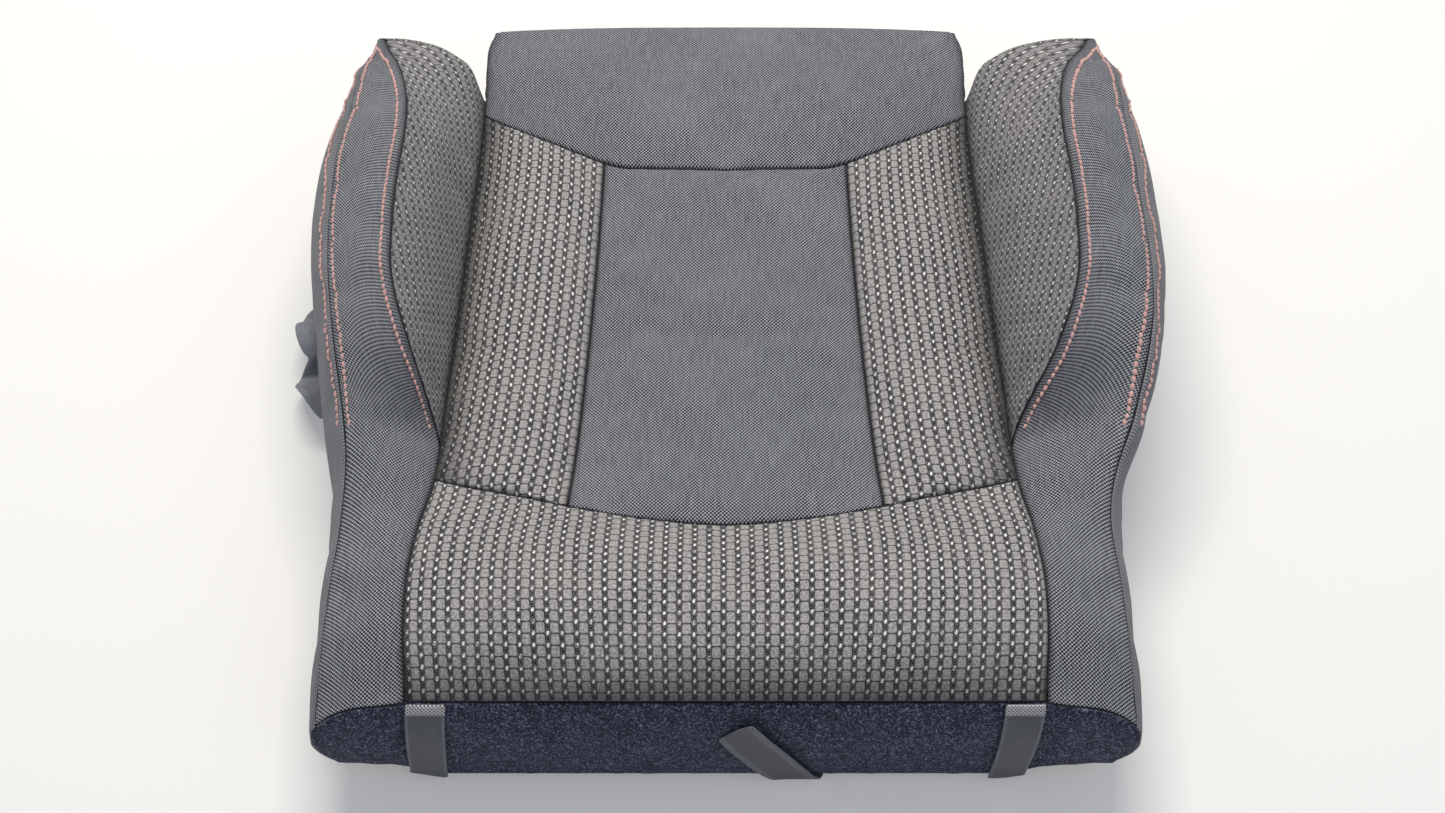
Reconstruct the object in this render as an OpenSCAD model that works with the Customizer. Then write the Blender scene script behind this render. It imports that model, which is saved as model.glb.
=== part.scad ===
// Lower cushion of a sport-style front seat: a moulded foam pad in three pieces,
// a sewn cloth cover drawn down into the foam by listing wires and hog rings,
// a fleece front band with webbing straps, and hook strips along the hems.
// Millimetres, +Z up, +Y to the rear. The origin is on the centreline at floor
// level, half way along the pad.

/* [Pad] */
// Width across the two front corners
front_w = 500; // [460:1:540]
// Length from the front band to the end of the rear tongue
pad_l = 573; // [540:1:620]
// Height of the front roll under the thighs
roll_h = 109; // [102:1:118]
// Height of the seating surface at its lowest
seat_h = 70; // [64:1:76]
// Height of the bolster crests
bolster_h = 158; // [148:1:174]
// Height of the outer seam of the bolsters
outer_seam_h = 138; // [132:1:146]
// Distance between the two valleys that part the bolsters from the seat
valley_w = 376; // [366:1:384]
// Distance between the two bolster crests
crest_w = 442; // [434:1:450]
// Greatest distance between the outer seams of the bolsters
outer_seam_w = 544; // [536:1:556]
// How far the bolster sides swell out beyond their seams
side_bulge = 14; // [6:1:20]

/* [Seams] */
// Distance from the front to the seam behind the front roll
roll_l = 141; // [130:1:150]
// How far that seam sweeps back towards the bolsters
roll_bow = 37; // [25:1:42]
// Distance from the rear seam to the end of the tongue
rear_l = 135; // [125:1:150]
// How far the rear seam sweeps back towards the bolsters
rear_bow = 54; // [35:1:58]
// Length of tongue that stands out behind the bolsters
tongue_out = 54; // [46:1:62]
// Width of the tongue
tongue_w = 354; // [344:1:356]
// Width of the centre panel at its front
centre_front_w = 202; // [180:1:216]
// Width of the centre panel at its rear
centre_rear_w = 174; // [160:1:190]
// Depth of the grooves along the centre seams
groove_d = 3; // [1:0.5:6]

/* [Cover] */
// Thickness of the cover cloth and its bonded foam backing
cover_t = 3; // [2:0.5:4]
// Clearance between the cover and the foam
cover_gap = 0.8; // [0.6:0.1:0.9]
// Half the gap left along each sewn edge
seam_gap = 0.3; // [0.2:0.1:0.5]
// Height of the cover's hem above the floor
hem_h = 16; // [14:1:20]
// Crown of the centre panel
centre_crown = 4; // [1:0.5:6]
// Crown of the side insert panels
insert_crown = 13; // [8:0.5:15]
// Crown of the front panel
front_crown = 11; // [6:0.5:12]
// Lift of the bolsters' seat-side cloth where it rounds over the rear tip
tip_lift = 28; // [16:1:30]
// Swell of the fleece band on the front face
band_swell = 5; // [2:0.5:8]

/* [Foam] */
// Thickness of the felt under the foam
felt_t = 2; // [1:0.5:3]
// Width of the step in the foam that clears the seat pan's rim
step_w = 22; // [18:1:26]
// Gap between the core and each bolster block
foam_split = 0.3; // [0.2:0.1:0.6]
// Width of the trenches for the listing wires
trench_w = 16; // [15:0.5:20]

/* [Listing] */
// Height of the tie wires in the foam
tie_z = 30; // [26:1:34]
// Rise from a tie wire to the listing wire above it
wire_rise = 6; // [5.5:0.1:6.5]
// Diameter of the wires
wire_d = 3; // [2:0.1:3.5]
// Inner radius of a closed hog ring
ring_r = 5.5; // [5.2:0.1:6]
// Diameter of the hog ring wire
ring_wire_d = 2; // [1.6:0.1:2.4]
// Hog rings along each wire
ring_count = 5; // [3:1:7]
// Wall of the cloth sleeve round a listing wire
sleeve_t = 1; // [0.8:0.1:1.4]

/* [Straps] */
// Width of the front webbing straps
strap_w = 24; // [18:1:30]
// Thickness of the webbing
strap_t = 1.6; // [1.2:0.1:2.4]
// Distance of each front strap from the centreline
strap_x = 180; // [150:1:185]
// Width of the loose centre strap
tab_w = 30; // [24:1:34]
// Thickness of the loose flap under the left bolster
flap_t = 1.6; // [1.2:0.1:2.4]

/* [Hook strips] */
// Wall of the hook strips
hook_t = 2; // [1.6:0.1:2.6]
// Width of the hook
hook_w = 9; // [7.5:0.5:12]
// Clearance of the hook strips above the floor
hook_clear = 3; // [2.5:0.1:4]

/* [Hidden] */

plain_cloth = "#4b4f57";
patterned_cloth = "#7d7a7a";
side_cloth = "#7b7c77";
fleece = "#2d3241";
webbing = "#5c5f64";
foam_colour = "#d9cf9e";
felt_colour = "#3a3a3c";
plastic = "#1c1c1e";
steel = "#9a9ca0";

LEFT = -1;
RIGHT = 1;

front_half = front_w / 2;
valley_half = valley_w / 2;
crest_half = crest_w / 2;
outer_half = outer_seam_w / 2;
tongue_half = tongue_w / 2;
lip_y = 17;                      // front edge of the top panels
corner_drop = 12;                // how far the front seam comes forward at the corners
rim_bow = 5;                     // how far the tongue's rear edge bows out
tip_y = pad_l - tongue_out;      // rear tips of the bolsters
tongue_y = tip_y - 14;           // where the valley runs out at the rear
foam_off = cover_t + cover_gap;
block_ease = 1.2;                // the bolster blocks are moulded a little slack
base_z = felt_t;
trench_z = tie_z - ring_r;       // floor of the trenches

// Inner block that every cover panel's thickness points towards
inner_half = valley_half + 17;
inner_front = 60;
inner_top = seat_h - 16;
bolster_rear = tip_y - 29;
centre_rear = pad_l - 13;

// Rows and columns of the panel meshes
run_steps = 26;                  // along a bolster, front to tip
crest_start = 5 / 13;            // where the crest seam leaves the valley
inner_steps = 16;
cols = 16;

// ---------------------------------------------------------------- helpers
function clamp(v, lo, hi) = min(max(v, lo), hi);
function mix(a, b, t) = a + (b - a) * t;
function ease(t) = let (c = clamp(t, 0, 1)) c * c * (3 - 2 * c);
function unit(v) = v / norm(v);
function flip(p) = [-p.x, p.y, p.z];
function sided(p, side) = [side * p.x, p.y, p.z];
function puff(t, power) = 1 - pow(abs(2 * t - 1), power);
function flat_list(rows) = [for (row = rows) each row];
function backward(list) = [for (i = [len(list) - 1 : -1 : 0]) list[i]];

// Smooth curve through evenly spaced values or points
function along(list, t) =
    let (
        n = len(list) - 1,
        s = clamp(t, 0, 1) * n,
        i = min(floor(s), n - 1),
        f = s - i,
        a = list[max(i - 1, 0)],
        b = list[i],
        c = list[i + 1],
        d = list[min(i + 2, n)]
    )
    0.5 * (2 * b + (c - a) * f + (2 * a - 5 * b + 4 * c - d) * f * f
        + (3 * b - a - 3 * c + d) * f * f * f);

// Direction from a cover point into the pad
function inward(p, rear) =
    unit([
        clamp(p.x, -inner_half, inner_half) - p.x,
        clamp(p.y, inner_front, rear) - p.y,
        min(p.z, inner_top) - p.z
    ]);

function sunk(p, depth, rear) = p + depth * inward(p, rear);
function sunk_grid(grid, depth, rear) =
    [for (row = grid) [for (p = row) sunk(p, depth, rear)]];

// ---------------------------------------------------------------- seam lines
// Each line runs from the front (s = 0) to the bolster tip (s = 1).
function run_y(s) = mix(lip_y, tip_y, s);
function run_s(y) = (y - lip_y) / (tip_y - lip_y);

valley_x_line = [
    for (d = [5, 7, 8, 6, 1, 0, 0, -1.5, -3.5, -5, -7, -9.5])
        valley_half + d,
    tongue_half,
    tongue_half
];
valley_z_line = [
    for (d = [19, 4, 4, 14]) roll_h - d,
    for (d = [12, -1, -7, -10, -11, -11, -10, -8, -5, 0]) seat_h + d
];
crest_x_line = [
    valley_half,
    for (d = [-14, -2, 0.5, 0.5, -1, 0, 6, 20]) crest_half + d
];
crest_z_line = [
    seat_h + 1,
    for (d = [24, 5, 0, 0, 3, 9.5, 24, 44]) bolster_h - d
];
outer_x_line = [
    for (d = [0, 0.5, 2, 5, 4, -2]) front_half - d,
    for (d = [13, 6.5, 1.5, 0, 1, 8, 16.5, 29]) outer_half - d
];
outer_z_line = [
    for (d = [30, 17, 13, 9.5, 3]) roll_h - d,
    for (d = [20, 8, 2, 0.5, 0, 0.5, 4, 11, 25]) outer_seam_h - d
];
bulge_line = [0.06, 0.12, 0.2, 0.3, 0.5, 0.68, 0.8, 0.88, 0.94, 1, 1, 0.9, 0.55, 0.25];
hem_tuck_line = [10, 3, 0, -3, -4, -2, 1, 3.5, 5.5, 6, 7, 6, 5.5, 5.5];

function valley(s) = [along(valley_x_line, s), min(run_y(s), tongue_y), along(valley_z_line, s)];
function crest(s) =
    let (t = (s - crest_start) / (1 - crest_start))
    [along(crest_x_line, t), run_y(s), along(crest_z_line, t)];
function outer_seam(s) =
    [along(outer_x_line, s), run_y(s) - corner_drop * (1 - ease(s * 13)), along(outer_z_line, s)];
function hem(s) =
    [
        along(outer_x_line, s) - along(hem_tuck_line, s),
        run_y(s) - (corner_drop - 1) * (1 - ease(s * 13)),
        hem_h + 10 * (1 - ease(s * 11))
    ];
function strip_edge(s) = s <= crest_start ? valley(s) : crest(s);

// Bolster surfaces, right-hand side: s runs to the rear, w runs outwards and down
function puffed(a, b, w, share, fade) =
    let (p = mix(a, b, w))
    p - share * norm(b - a) * 4 * w * (1 - w) * fade * inward(p, bolster_rear);
// The seat side stands up above the tongue near the rear tip
function tip_rise(s, w) = tip_lift * ease((s - 0.84) / 0.16) * ease(w / 0.16) * pow(1 - w, 2);
function inner_face(s, w) =
    let (p = puffed(valley(s), crest(s), w, 0.1, 1))
    p - tip_rise(s, w) * inward(p, bolster_rear);
function outer_face(s, w) = puffed(strip_edge(s), outer_seam(s), w, 0.1, ease(s * 15));
function side_face(s, w) =
    let (p = mix(outer_seam(s), hem(s), w))
    p - side_bulge * along(bulge_line, s) * sin(180 * pow(w, 0.6)) * inward(p, bolster_rear);

// Rear end of a bolster: u runs outwards, v runs down
function end_top(u) = inner_face(1, u);
function end_foot(u) = [mix(tongue_half, hem(1).x, u), mix(tongue_y + 4, tip_y, u), hem_h];
function end_face(u, v) =
    let (
        top = end_top(u),
        foot = end_foot(u),
        inner_edge = mix(end_top(0), end_foot(0), v),
        outer_edge = side_face(1, v),
        cross = mix(mix(end_top(0), end_top(1), u), mix(end_foot(0), end_foot(1), u), v)
    )
    mix(top, foot, v) + mix(inner_edge, outer_edge, u) - cross
        + [0, 9 * sin(180 * pow(v, 0.7)) * sin(180 * u), 0];

// Seams across the pad: t runs from the left (0) to the right (1), and the centre
// panel's seams stand at 1/4 and 3/4
function across(half, quarter, t) =
    along([-half, -mix(half, quarter, 0.5), -quarter, -quarter / 2, 0,
           quarter / 2, quarter, mix(half, quarter, 0.5), half], t);
function front_line(t) = [mix(-1, 1, t) * valley(0).x, lip_y, valley(0).z];

roll_end = valley(run_s(roll_l + roll_bow));
function roll_line(t) =
    let (
        x = across(roll_end.x, centre_front_w / 2, t),
        far = abs(x) / roll_end.x
    )
    [
        x,
        roll_l + roll_bow * pow(far, 1.6),
        mix(seat_h + 16, roll_end.z, ease((far - 0.65) / 0.35))
    ];

rear_y = pad_l - rear_l;
rear_end = valley(run_s(rear_y + rear_bow));
function rear_line(t) =
    let (
        x = across(rear_end.x, centre_rear_w / 2, t),
        far = abs(x) / rear_end.x
    )
    [
        x,
        rear_y + rear_bow * (0.94 * pow(max(far - 0.42, 0) / 0.58, 1.2) + 0.06 * far),
        mix(seat_h + 1, rear_end.z, ease((far - 0.65) / 0.35)) + 3 * far * (1 - far)
    ];

rim_half = tongue_half - 4;
function rim_line(t) =
    let (x = across(rim_half, rim_half / 2, t))
    [x, pad_l - rim_bow * pow(abs(x) / rim_half, 3), seat_h + 3];

// Centre seam on the right-hand side and the dish of the seat along it
dish_line = [0, -6.5, -9, -9.5, -9, -7, -5, -2.5, 0];
function centre_seam(v) =
    let (p = mix(roll_line(0.75), rear_line(0.75), v))
    p + [-7 * v * (1 - v), 0, along(dish_line, v) - groove_d * puff(v, 6)];
function valley_edge(v) = valley(run_s(mix(roll_end.y, rear_end.y, v)));
function tongue_edge(v) =
    let (y = mix(rear_end.y, pad_l - rim_bow, v))
    [
        rear_end.x - (rear_end.x - rim_half) * ease((v - 0.75) / 0.25),
        y,
        mix(rear_end.z, seat_h + 3, ease(v * 1.5))
    ];

// Patch that meets four edge curves exactly. Front and rear hold the curve's start,
// its point at u and its end, and left and right hold the side curves' points at v.
function patch(front, rear, left, right, u, v) =
    mix(front[1], rear[1], v) + mix(left, right, u)
        - mix(mix(front[0], front[2], u), mix(rear[0], rear[2], u), v);

// Crowned top surfaces; t is the place across the pad and v runs to the rear
function front_top(t, v) =
    let (
        side = valley(run_s(mix(lip_y, roll_end.y, v))),
        p = patch(
            [front_line(0), front_line(t), front_line(1)],
            [roll_line(0), roll_line(t), roll_line(1)],
            flip(side), side, t, v)
    )
    p + [0, 0, front_crown * puff(t, 4) * pow(sin(180 * pow(v, 0.8)), 0.7)];
function insert_top(t, v) =
    let (
        right = t > 0.5,
        u = right ? (t - 0.75) * 4 : t * 4,
        a = right ? centre_seam(v) : flip(valley_edge(v)),
        b = right ? valley_edge(v) : flip(centre_seam(v)),
        t0 = right ? 0.75 : 0,
        p = patch(
            [roll_line(t0), roll_line(t), roll_line(t0 + 0.25)],
            [rear_line(t0), rear_line(t), rear_line(t0 + 0.25)],
            a, b, u, v)
    )
    p + [0, 0, insert_crown * puff(u, 2.8) * puff(v, 7)];
function centre_top(t, v) =
    let (
        u = (t - 0.25) * 2,
        p = patch(
            [roll_line(0.25), roll_line(t), roll_line(0.75)],
            [rear_line(0.25), rear_line(t), rear_line(0.75)],
            flip(centre_seam(v)), centre_seam(v), u, v)
    )
    p + [0, 0, centre_crown * puff(u, 5) * puff(v, 8)];
function rear_top(t, v) =
    let (
        p = patch(
            [rear_line(0), rear_line(t), rear_line(1)],
            [rim_line(0), rim_line(t), rim_line(1)],
            flip(tongue_edge(v)), tongue_edge(v), t, v)
    )
    p + [0, 0, 5 * puff(t, 6) * pow(sin(180 * pow(v, 0.7)), 0.8)];

// Front face: u is -1 at the left corner and 1 at the right, v runs down
band_half = hem(0).x;
function band_top(u) =
    let (x = abs(u) * front_half, edge = valley(0).x)
    x <= edge
        ? [u * front_half, lip_y, valley(0).z]
        : sided(mix(valley(0), outer_seam(0), (x - edge) / (front_half - edge)), sign(u));
function band_foot(u) =
    [
        u * band_half,
        hem(0).y,
        hem_h + 10 * ease((abs(u) * band_half - band_half + 45) / 45)
    ];
function band_face(u, v) =
    let (
        edge = side_face(0, v),
        middle = mix(band_top(u), band_foot(u), v),
        chord = mix(outer_seam(0), hem(0), v),
        p = middle + sided(edge - chord, sign(u)) * abs(u)
    )
    p - band_swell * puff((u + 1) / 2, 8) * sin(180 * pow(v, 0.75)) * inward(p, centre_rear);

// ---------------------------------------------------------------- meshes
function quad(a, b, c, d) = [[a, b, c], [a, c, d]];
// Two triangles with the other diagonal, for the left half of a full-width mesh
function turned(a, b, c, d) = [[b, c, d], [b, d, a]];
function sound(faces) = [for (f = faces) if (f[0] != f[1] && f[1] != f[2] && f[2] != f[0]) f];

// Closed sheet between an outer and an inner grid of points. With tip set, the first
// row of each grid is a single point; with even set, its two halves mirror each other.
module sheet(outer, inner, tip = false, even = false) {
    rows = len(outer);
    n = len(outer[0]);
    total = rows * n;
    function top(i, j) = tip && i == 0 ? 0 : i * n + j;
    function low(i, j) = total + top(i, j);
    faces = [
        for (i = [0 : rows - 2], j = [0 : n - 2]) each
            even && j < (n - 1) / 2
                ? turned(top(i, j), top(i + 1, j), top(i + 1, j + 1), top(i, j + 1))
                : quad(top(i, j), top(i + 1, j), top(i + 1, j + 1), top(i, j + 1)),
        for (i = [0 : rows - 2], j = [0 : n - 2]) each
            even && j < (n - 1) / 2
                ? turned(low(i, j), low(i, j + 1), low(i + 1, j + 1), low(i + 1, j))
                : quad(low(i, j), low(i, j + 1), low(i + 1, j + 1), low(i + 1, j)),
        for (i = [0 : rows - 2]) each quad(top(i, 0), low(i, 0), low(i + 1, 0), top(i + 1, 0)),
        for (i = [0 : rows - 2]) each
            quad(top(i, n - 1), top(i + 1, n - 1), low(i + 1, n - 1), low(i, n - 1)),
        for (j = [0 : n - 2]) each quad(top(0, j), top(0, j + 1), low(0, j + 1), low(0, j)),
        for (j = [0 : n - 2]) each
            quad(top(rows - 1, j), low(rows - 1, j), low(rows - 1, j + 1), top(rows - 1, j + 1))
    ];
    polyhedron(concat(flat_list(outer), flat_list(inner)), sound(faces));
}

// Solid through a list of closed rings, with flat ends
module loft(rings) {
    n = len(rings[0]);
    last = len(rings) - 1;
    faces = [
        for (i = [0 : last - 1], j = [0 : n - 1]) each
            quad(i * n + j, (i + 1) * n + j, (i + 1) * n + (j + 1) % n, i * n + (j + 1) % n),
        [for (j = [0 : n - 1]) j],
        [for (j = [n - 1 : -1 : 0]) last * n + j]
    ];
    polyhedron(flat_list(rings), faces);
}

// Profile of [sideways, up] points carried along a path at one height
function heading(path, i) =
    let (a = path[max(i - 1, 0)], b = path[min(i + 1, len(path) - 1)])
    unit([b.x - a.x, b.y - a.y, 0]);
function swept(path, profile) = [
    for (i = [0 : len(path) - 1])
        let (h = heading(path, i))
        [for (q = profile) path[i] + [-h.y * q.x, h.x * q.x, q.y]]
];
module sweep(path, profile) loft(swept(path, profile));

// Spacing of k steps with a small margin at both ends of a run of the given length
function spaced(steps, length) =
    [for (k = [0 : steps]) mix(seam_gap / length, 1 - seam_gap / length, k / steps)];

module placed(side = RIGHT) {
    translate([0, -pad_l / 2, 0]) {
        if (side == LEFT) mirror([1, 0, 0]) children();
        else children();
    }
}

// ---------------------------------------------------------------- foam and felt
foot_front = lip_y + step_w - corner_drop + 1;
// Plan of the pad inside its hem, less the step
function foot_side() = [
    for (s = [0 : 1 / 13 : 1.001]) [hem(s).x - step_w, max(run_y(s), foot_front)]
];
module foot_plan() {
    side = foot_side();
    rear_x = tongue_half - step_w;
    rear_foot_y = pad_l - rim_bow - step_w;
    polygon(concat(
        side,
        [[rear_x, tip_y], [rear_x, rear_foot_y], [-rear_x, rear_foot_y], [-rear_x, tip_y]],
        [for (p = backward(side)) [-p.x, p.y]]
    ));
}
module pan_step() {
    translate([0, 0, -1]) linear_extrude(hem_h + 1) difference() {
        translate([-pad_l, -pad_l]) square(3 * pad_l);
        foot_plan();
    }
}

// Ribbon in plan along a list of points
module ribbon(path, width) {
    left = [for (i = [0 : len(path) - 1])
        let (h = heading(path, i)) [path[i].x - h.y * width / 2, path[i].y + h.x * width / 2]];
    right = [for (i = [0 : len(path) - 1])
        let (h = heading(path, i)) [path[i].x + h.y * width / 2, path[i].y - h.x * width / 2]];
    polygon(concat(left, backward(right)));
}

// Runs of the listings along their seams
function front_run() = [for (k = [0 : 12]) roll_line(mix(0.04, 0.96, k / 12))];
function rear_run() = [for (k = [0 : 12]) rear_line(mix(0.04, 0.96, k / 12))];
function valley_run() = [for (k = [0 : 10])
    valley(run_s(mix(roll_end.y + 25, rear_end.y - 30, k / 10)))];

module trench(path) {
    translate([0, 0, trench_z]) linear_extrude(roll_h) ribbon(path, trench_w);
}

front_cap = [0.95, 0.7, 0.4, 0.15];
function drawn_in(p) =
    let (
        inset = mix(foam_split / 2, foam_off + block_ease, ease((p.y - tongue_y - 2) / 8)),
        half = abs(p.x)
    )
    [sign(p.x) * (half - inset), p.y, p.z];
function core_edges(row) = [
    for (k = [0 : cols]) k == 0 || k == cols ? drawn_in(row[k]) : row[k]
];
// Keeps the rear end of the core inside the skirt
function inside_skirt(p) =
    let (half = rim_half - 2 * foam_off)
    p.y < pad_l - 16
        ? p
        : [
            clamp(p.x, -half, half),
            min(p.y, pad_l - rim_bow * pow(abs(p.x) / rim_half, 3) - foam_off - 1.5),
            p.z
        ];

module core_body() {
    edge_u = valley(0).x / front_half;
    cap_rows = [for (v = front_cap) [for (k = [0 : cols]) band_face(mix(-1, 1, k / cols) * edge_u, v)]];
    main_rows = [
        for (v = [0 : 1 / 8 : 0.99]) [for (k = [0 : cols]) front_top(k / cols, v)],
        for (v = [0 : 1 / 12 : 0.99]) [for (k = [0 : cols])
            let (t = k / cols)
            t <= 0.25 || t >= 0.75 ? insert_top(t, v) : centre_top(t, v)],
        for (v = [0 : 1 / 5 : 1.001]) [for (k = [0 : cols]) rear_top(k / cols, v)]
    ];
    sunk_rows = [
        for (row = sunk_grid(concat(cap_rows, main_rows), foam_off, centre_rear))
            [for (p = core_edges(row)) inside_skirt(p)]
    ];
    front_base = [for (p = sunk_rows[0]) [p.x, p.y, base_z]];
    rear_base = [for (p = sunk_rows[len(sunk_rows) - 1]) [p.x, p.y, base_z]];
    grid = concat([front_base], sunk_rows, [rear_base]);
    n = cols + 1;
    rows = len(grid);
    first = 1 + len(front_cap);
    last = rows - 2;
    left_chain = [for (i = [first : last - 1]) [grid[i][0].x, grid[i][0].y, base_z]];
    right_chain = [for (i = [first : last - 1]) [grid[i][cols].x, grid[i][cols].y, base_z]];
    total = rows * n;
    function id(i, j) = i * n + j;
    function left_id(i) = i == last ? id(rows - 1, 0) : total + i - first;
    function right_id(i) = i == last ? id(rows - 1, cols) : total + len(left_chain) + i - first;
    faces = [
        for (i = [0 : rows - 2], j = [0 : cols - 1]) each
            j < cols / 2
                ? turned(id(i, j), id(i + 1, j), id(i + 1, j + 1), id(i, j + 1))
                : quad(id(i, j), id(i + 1, j), id(i + 1, j + 1), id(i, j + 1)),
        for (i = [first : last - 1]) each
            quad(id(i, 0), left_id(i), left_id(i + 1), id(i + 1, 0)),
        for (i = [first : last - 1]) each
            quad(id(i, cols), id(i + 1, cols), right_id(i + 1), right_id(i)),
        for (i = [0 : first - 1]) [left_id(first), id(i + 1, 0), id(i, 0)],
        for (i = [0 : first - 1]) [right_id(first), id(i, cols), id(i + 1, cols)],
        for (j = [0 : cols - 1]) [left_id(first), id(0, j), id(0, j + 1)],
        [left_id(first), id(0, cols), right_id(first)],
        for (i = [first : last - 2]) each
            quad(left_id(i), right_id(i), right_id(i + 1), left_id(i + 1)),
        [left_id(last - 1), right_id(last - 1), id(rows - 1, cols)],
        for (j = [0 : cols - 1]) [left_id(last - 1), id(rows - 1, j + 1), id(rows - 1, j)]
    ];
    polyhedron(concat(flat_list(grid), left_chain, right_chain), faces);
}

module foam_core() {
    color(foam_colour) placed() difference() {
        core_body();
        pan_step();
        trench(front_run());
        trench(rear_run());
        for (side = [LEFT, RIGHT]) scale([side, 1, 1]) trench(valley_run());
    }
}

// Section of a bolster block from the valley over the crest and down the side
function block_over(s, t) =
    let (
        inner_l = s <= crest_start ? 0 : norm(crest(s) - valley(s)),
        outer_l = norm(outer_seam(s) - strip_edge(s)),
        share = inner_l / (inner_l + outer_l)
    )
    t < share ? inner_face(s, t / share) : outer_face(s, (t - share) / (1 - share));
function block_ring(s) =
    let (
        top = [for (k = [0 : 10]) block_over(s, k / 10)],
        side = [for (w = [0.15, 0.3, 0.5, 0.75, 0.97]) side_face(s, w)],
        skin = [for (p = concat(top, side)) sunk(p, foam_off + block_ease, bolster_rear)],
        foot = skin[len(skin) - 1],
        wall_x = valley(s).x + foam_split / 2
    )
    concat(
        [[wall_x, skin[0].y, skin[0].z]],
        [for (k = [1 : len(skin) - 1]) [max(skin[k].x, wall_x + 0.2 * k), skin[k].y, skin[k].z]],
        [[foot.x, foot.y, base_z], [wall_x, skin[0].y, base_z]]
    );

module block_body() {
    rings = [for (k = [0 : run_steps]) block_ring(k / run_steps)];
    n = len(rings[0]);
    total = n * len(rings);
    front_hub = [mix(valley_half, front_half, 0.55), lip_y - corner_drop + foam_off + 1, seat_h / 2];
    rear_hub = [mix(tongue_half, outer_half, 0.4), tip_y - foam_off - 2, seat_h / 2];
    faces = [
        for (i = [0 : run_steps - 1], j = [0 : n - 1]) each
            quad(i * n + j, (i + 1) * n + j, (i + 1) * n + (j + 1) % n, i * n + (j + 1) % n),
        for (j = [0 : n - 1]) [total, j, (j + 1) % n],
        for (j = [0 : n - 1]) [total + 1, run_steps * n + (j + 1) % n, run_steps * n + j]
    ];
    polyhedron(concat(flat_list(rings), [front_hub, rear_hub]), faces);
}

module bolster_foam(side) {
    color(foam_colour) placed(side) difference() {
        block_body();
        pan_step();
        trench(valley_run());
    }
}

module underside_felt() {
    color(felt_colour) placed() linear_extrude(felt_t) offset(delta = -2) foot_plan();
}

// ---------------------------------------------------------------- cover panels
module centre_panel() {
    grid = [for (v = spaced(12, 300)) [for (u = spaced(8, 190)) centre_top(0.25 + u / 2, v)]];
    color(plain_cloth) placed() sheet(grid, sunk_grid(grid, cover_t, centre_rear), even = true);
}

module insert_panel(side) {
    grid = [for (v = spaced(12, 300)) [for (u = spaced(8, 88)) insert_top(0.75 + u / 4, v)]];
    color(patterned_cloth) placed(side) sheet(grid, sunk_grid(grid, cover_t, centre_rear));
}

module front_panel() {
    grid = [for (v = spaced(8, 150)) [for (t = spaced(cols, valley_w)) front_top(t, v)]];
    color(patterned_cloth) placed() sheet(grid, sunk_grid(grid, cover_t, centre_rear), even = true);
}

module rear_panel() {
    grid = [for (v = spaced(7, 110)) [for (t = spaced(16, tongue_w)) rear_top(t, v)]];
    color(plain_cloth) placed() sheet(grid, sunk_grid(grid, cover_t, centre_rear), even = true);
}

// Walls of the tongue behind the bolsters, in plan from left to right
skirt_side_y = tip_y + 2;
function skirt_plan() =
    let (
        bend = rim_half + 1,
        half = [
            [tongue_half, skirt_side_y],
            [tongue_half - 0.2, mix(skirt_side_y, pad_l - 20, 0.6)],
            [tongue_half - 0.8, pad_l - 18],
            [bend - 2, pad_l - 7.5],
            [bend - 16, pad_l - 4],
            [rim_half / 2, pad_l - 0.8]
        ]
    )
    concat([for (p = half) [-p.x, p.y, 0]], [[0, pad_l, 0]], [for (p = backward(half)) [p.x, p.y, 0]]);

module rear_skirt() {
    path = skirt_plan();
    top = seat_h + 1 - cover_t - 2 * seam_gap;
    outer = [for (z = [hem_h, mix(hem_h, top, 0.35), mix(hem_h, top, 0.7), top])
        [for (p = path) [p.x, p.y, z]]];
    inner = [for (row = outer) [for (i = [0 : len(row) - 1])
        let (h = heading(path, i)) row[i] + cover_t * [h.y, -h.x, 0]]];
    color(plain_cloth) placed() sheet(backward(outer), backward(inner));
}

module bolster_inner_panel(side) {
    rows = [
        for (i = [0 : inner_steps])
            let (s = mix(crest_start, 1, i / inner_steps), l = max(norm(crest(s) - valley(s)), 1))
            [for (u = spaced(8, i == 0 ? 1000 : l)) inner_face(min(s, 1 - seam_gap / pad_l), u)]
    ];
    tip = [for (p = rows[0]) rows[0][0]];
    grid = concat([tip], [for (i = [1 : inner_steps]) rows[i]]);
    color(patterned_cloth) placed(side)
        sheet(grid, sunk_grid(grid, cover_t, bolster_rear), tip = true);
}

module bolster_outer_panel(side) {
    rows = [for (s = spaced(run_steps, tip_y)) s];
    grid = [for (s = rows)
        let (l = norm(outer_seam(s) - strip_edge(s)))
        [for (w = spaced(6, max(l, 2))) outer_face(s, w)]];
    color(plain_cloth) placed(side) sheet(grid, sunk_grid(grid, cover_t, bolster_rear));
}

module bolster_end_panel(side) {
    grid = [for (v = spaced(6, 70)) [for (u = spaced(7, 65)) end_face(u, v)]];
    color(patterned_cloth) placed(side) sheet(grid, sunk_grid(grid, cover_t, bolster_rear));
}

module side_panel(side) {
    grid = [for (s = spaced(run_steps, tip_y)) [for (w = spaced(7, 120)) side_face(s, w)]];
    color(side_cloth) placed(side) sheet(grid, sunk_grid(grid, cover_t, bolster_rear));
}

module front_fleece_band() {
    grid = [for (v = spaced(6, 85)) [for (u = spaced(26, front_w)) band_face(2 * u - 1, 1 - v)]];
    color(fleece) placed() sheet(grid, sunk_grid(grid, cover_t, centre_rear), even = true);
}

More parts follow.
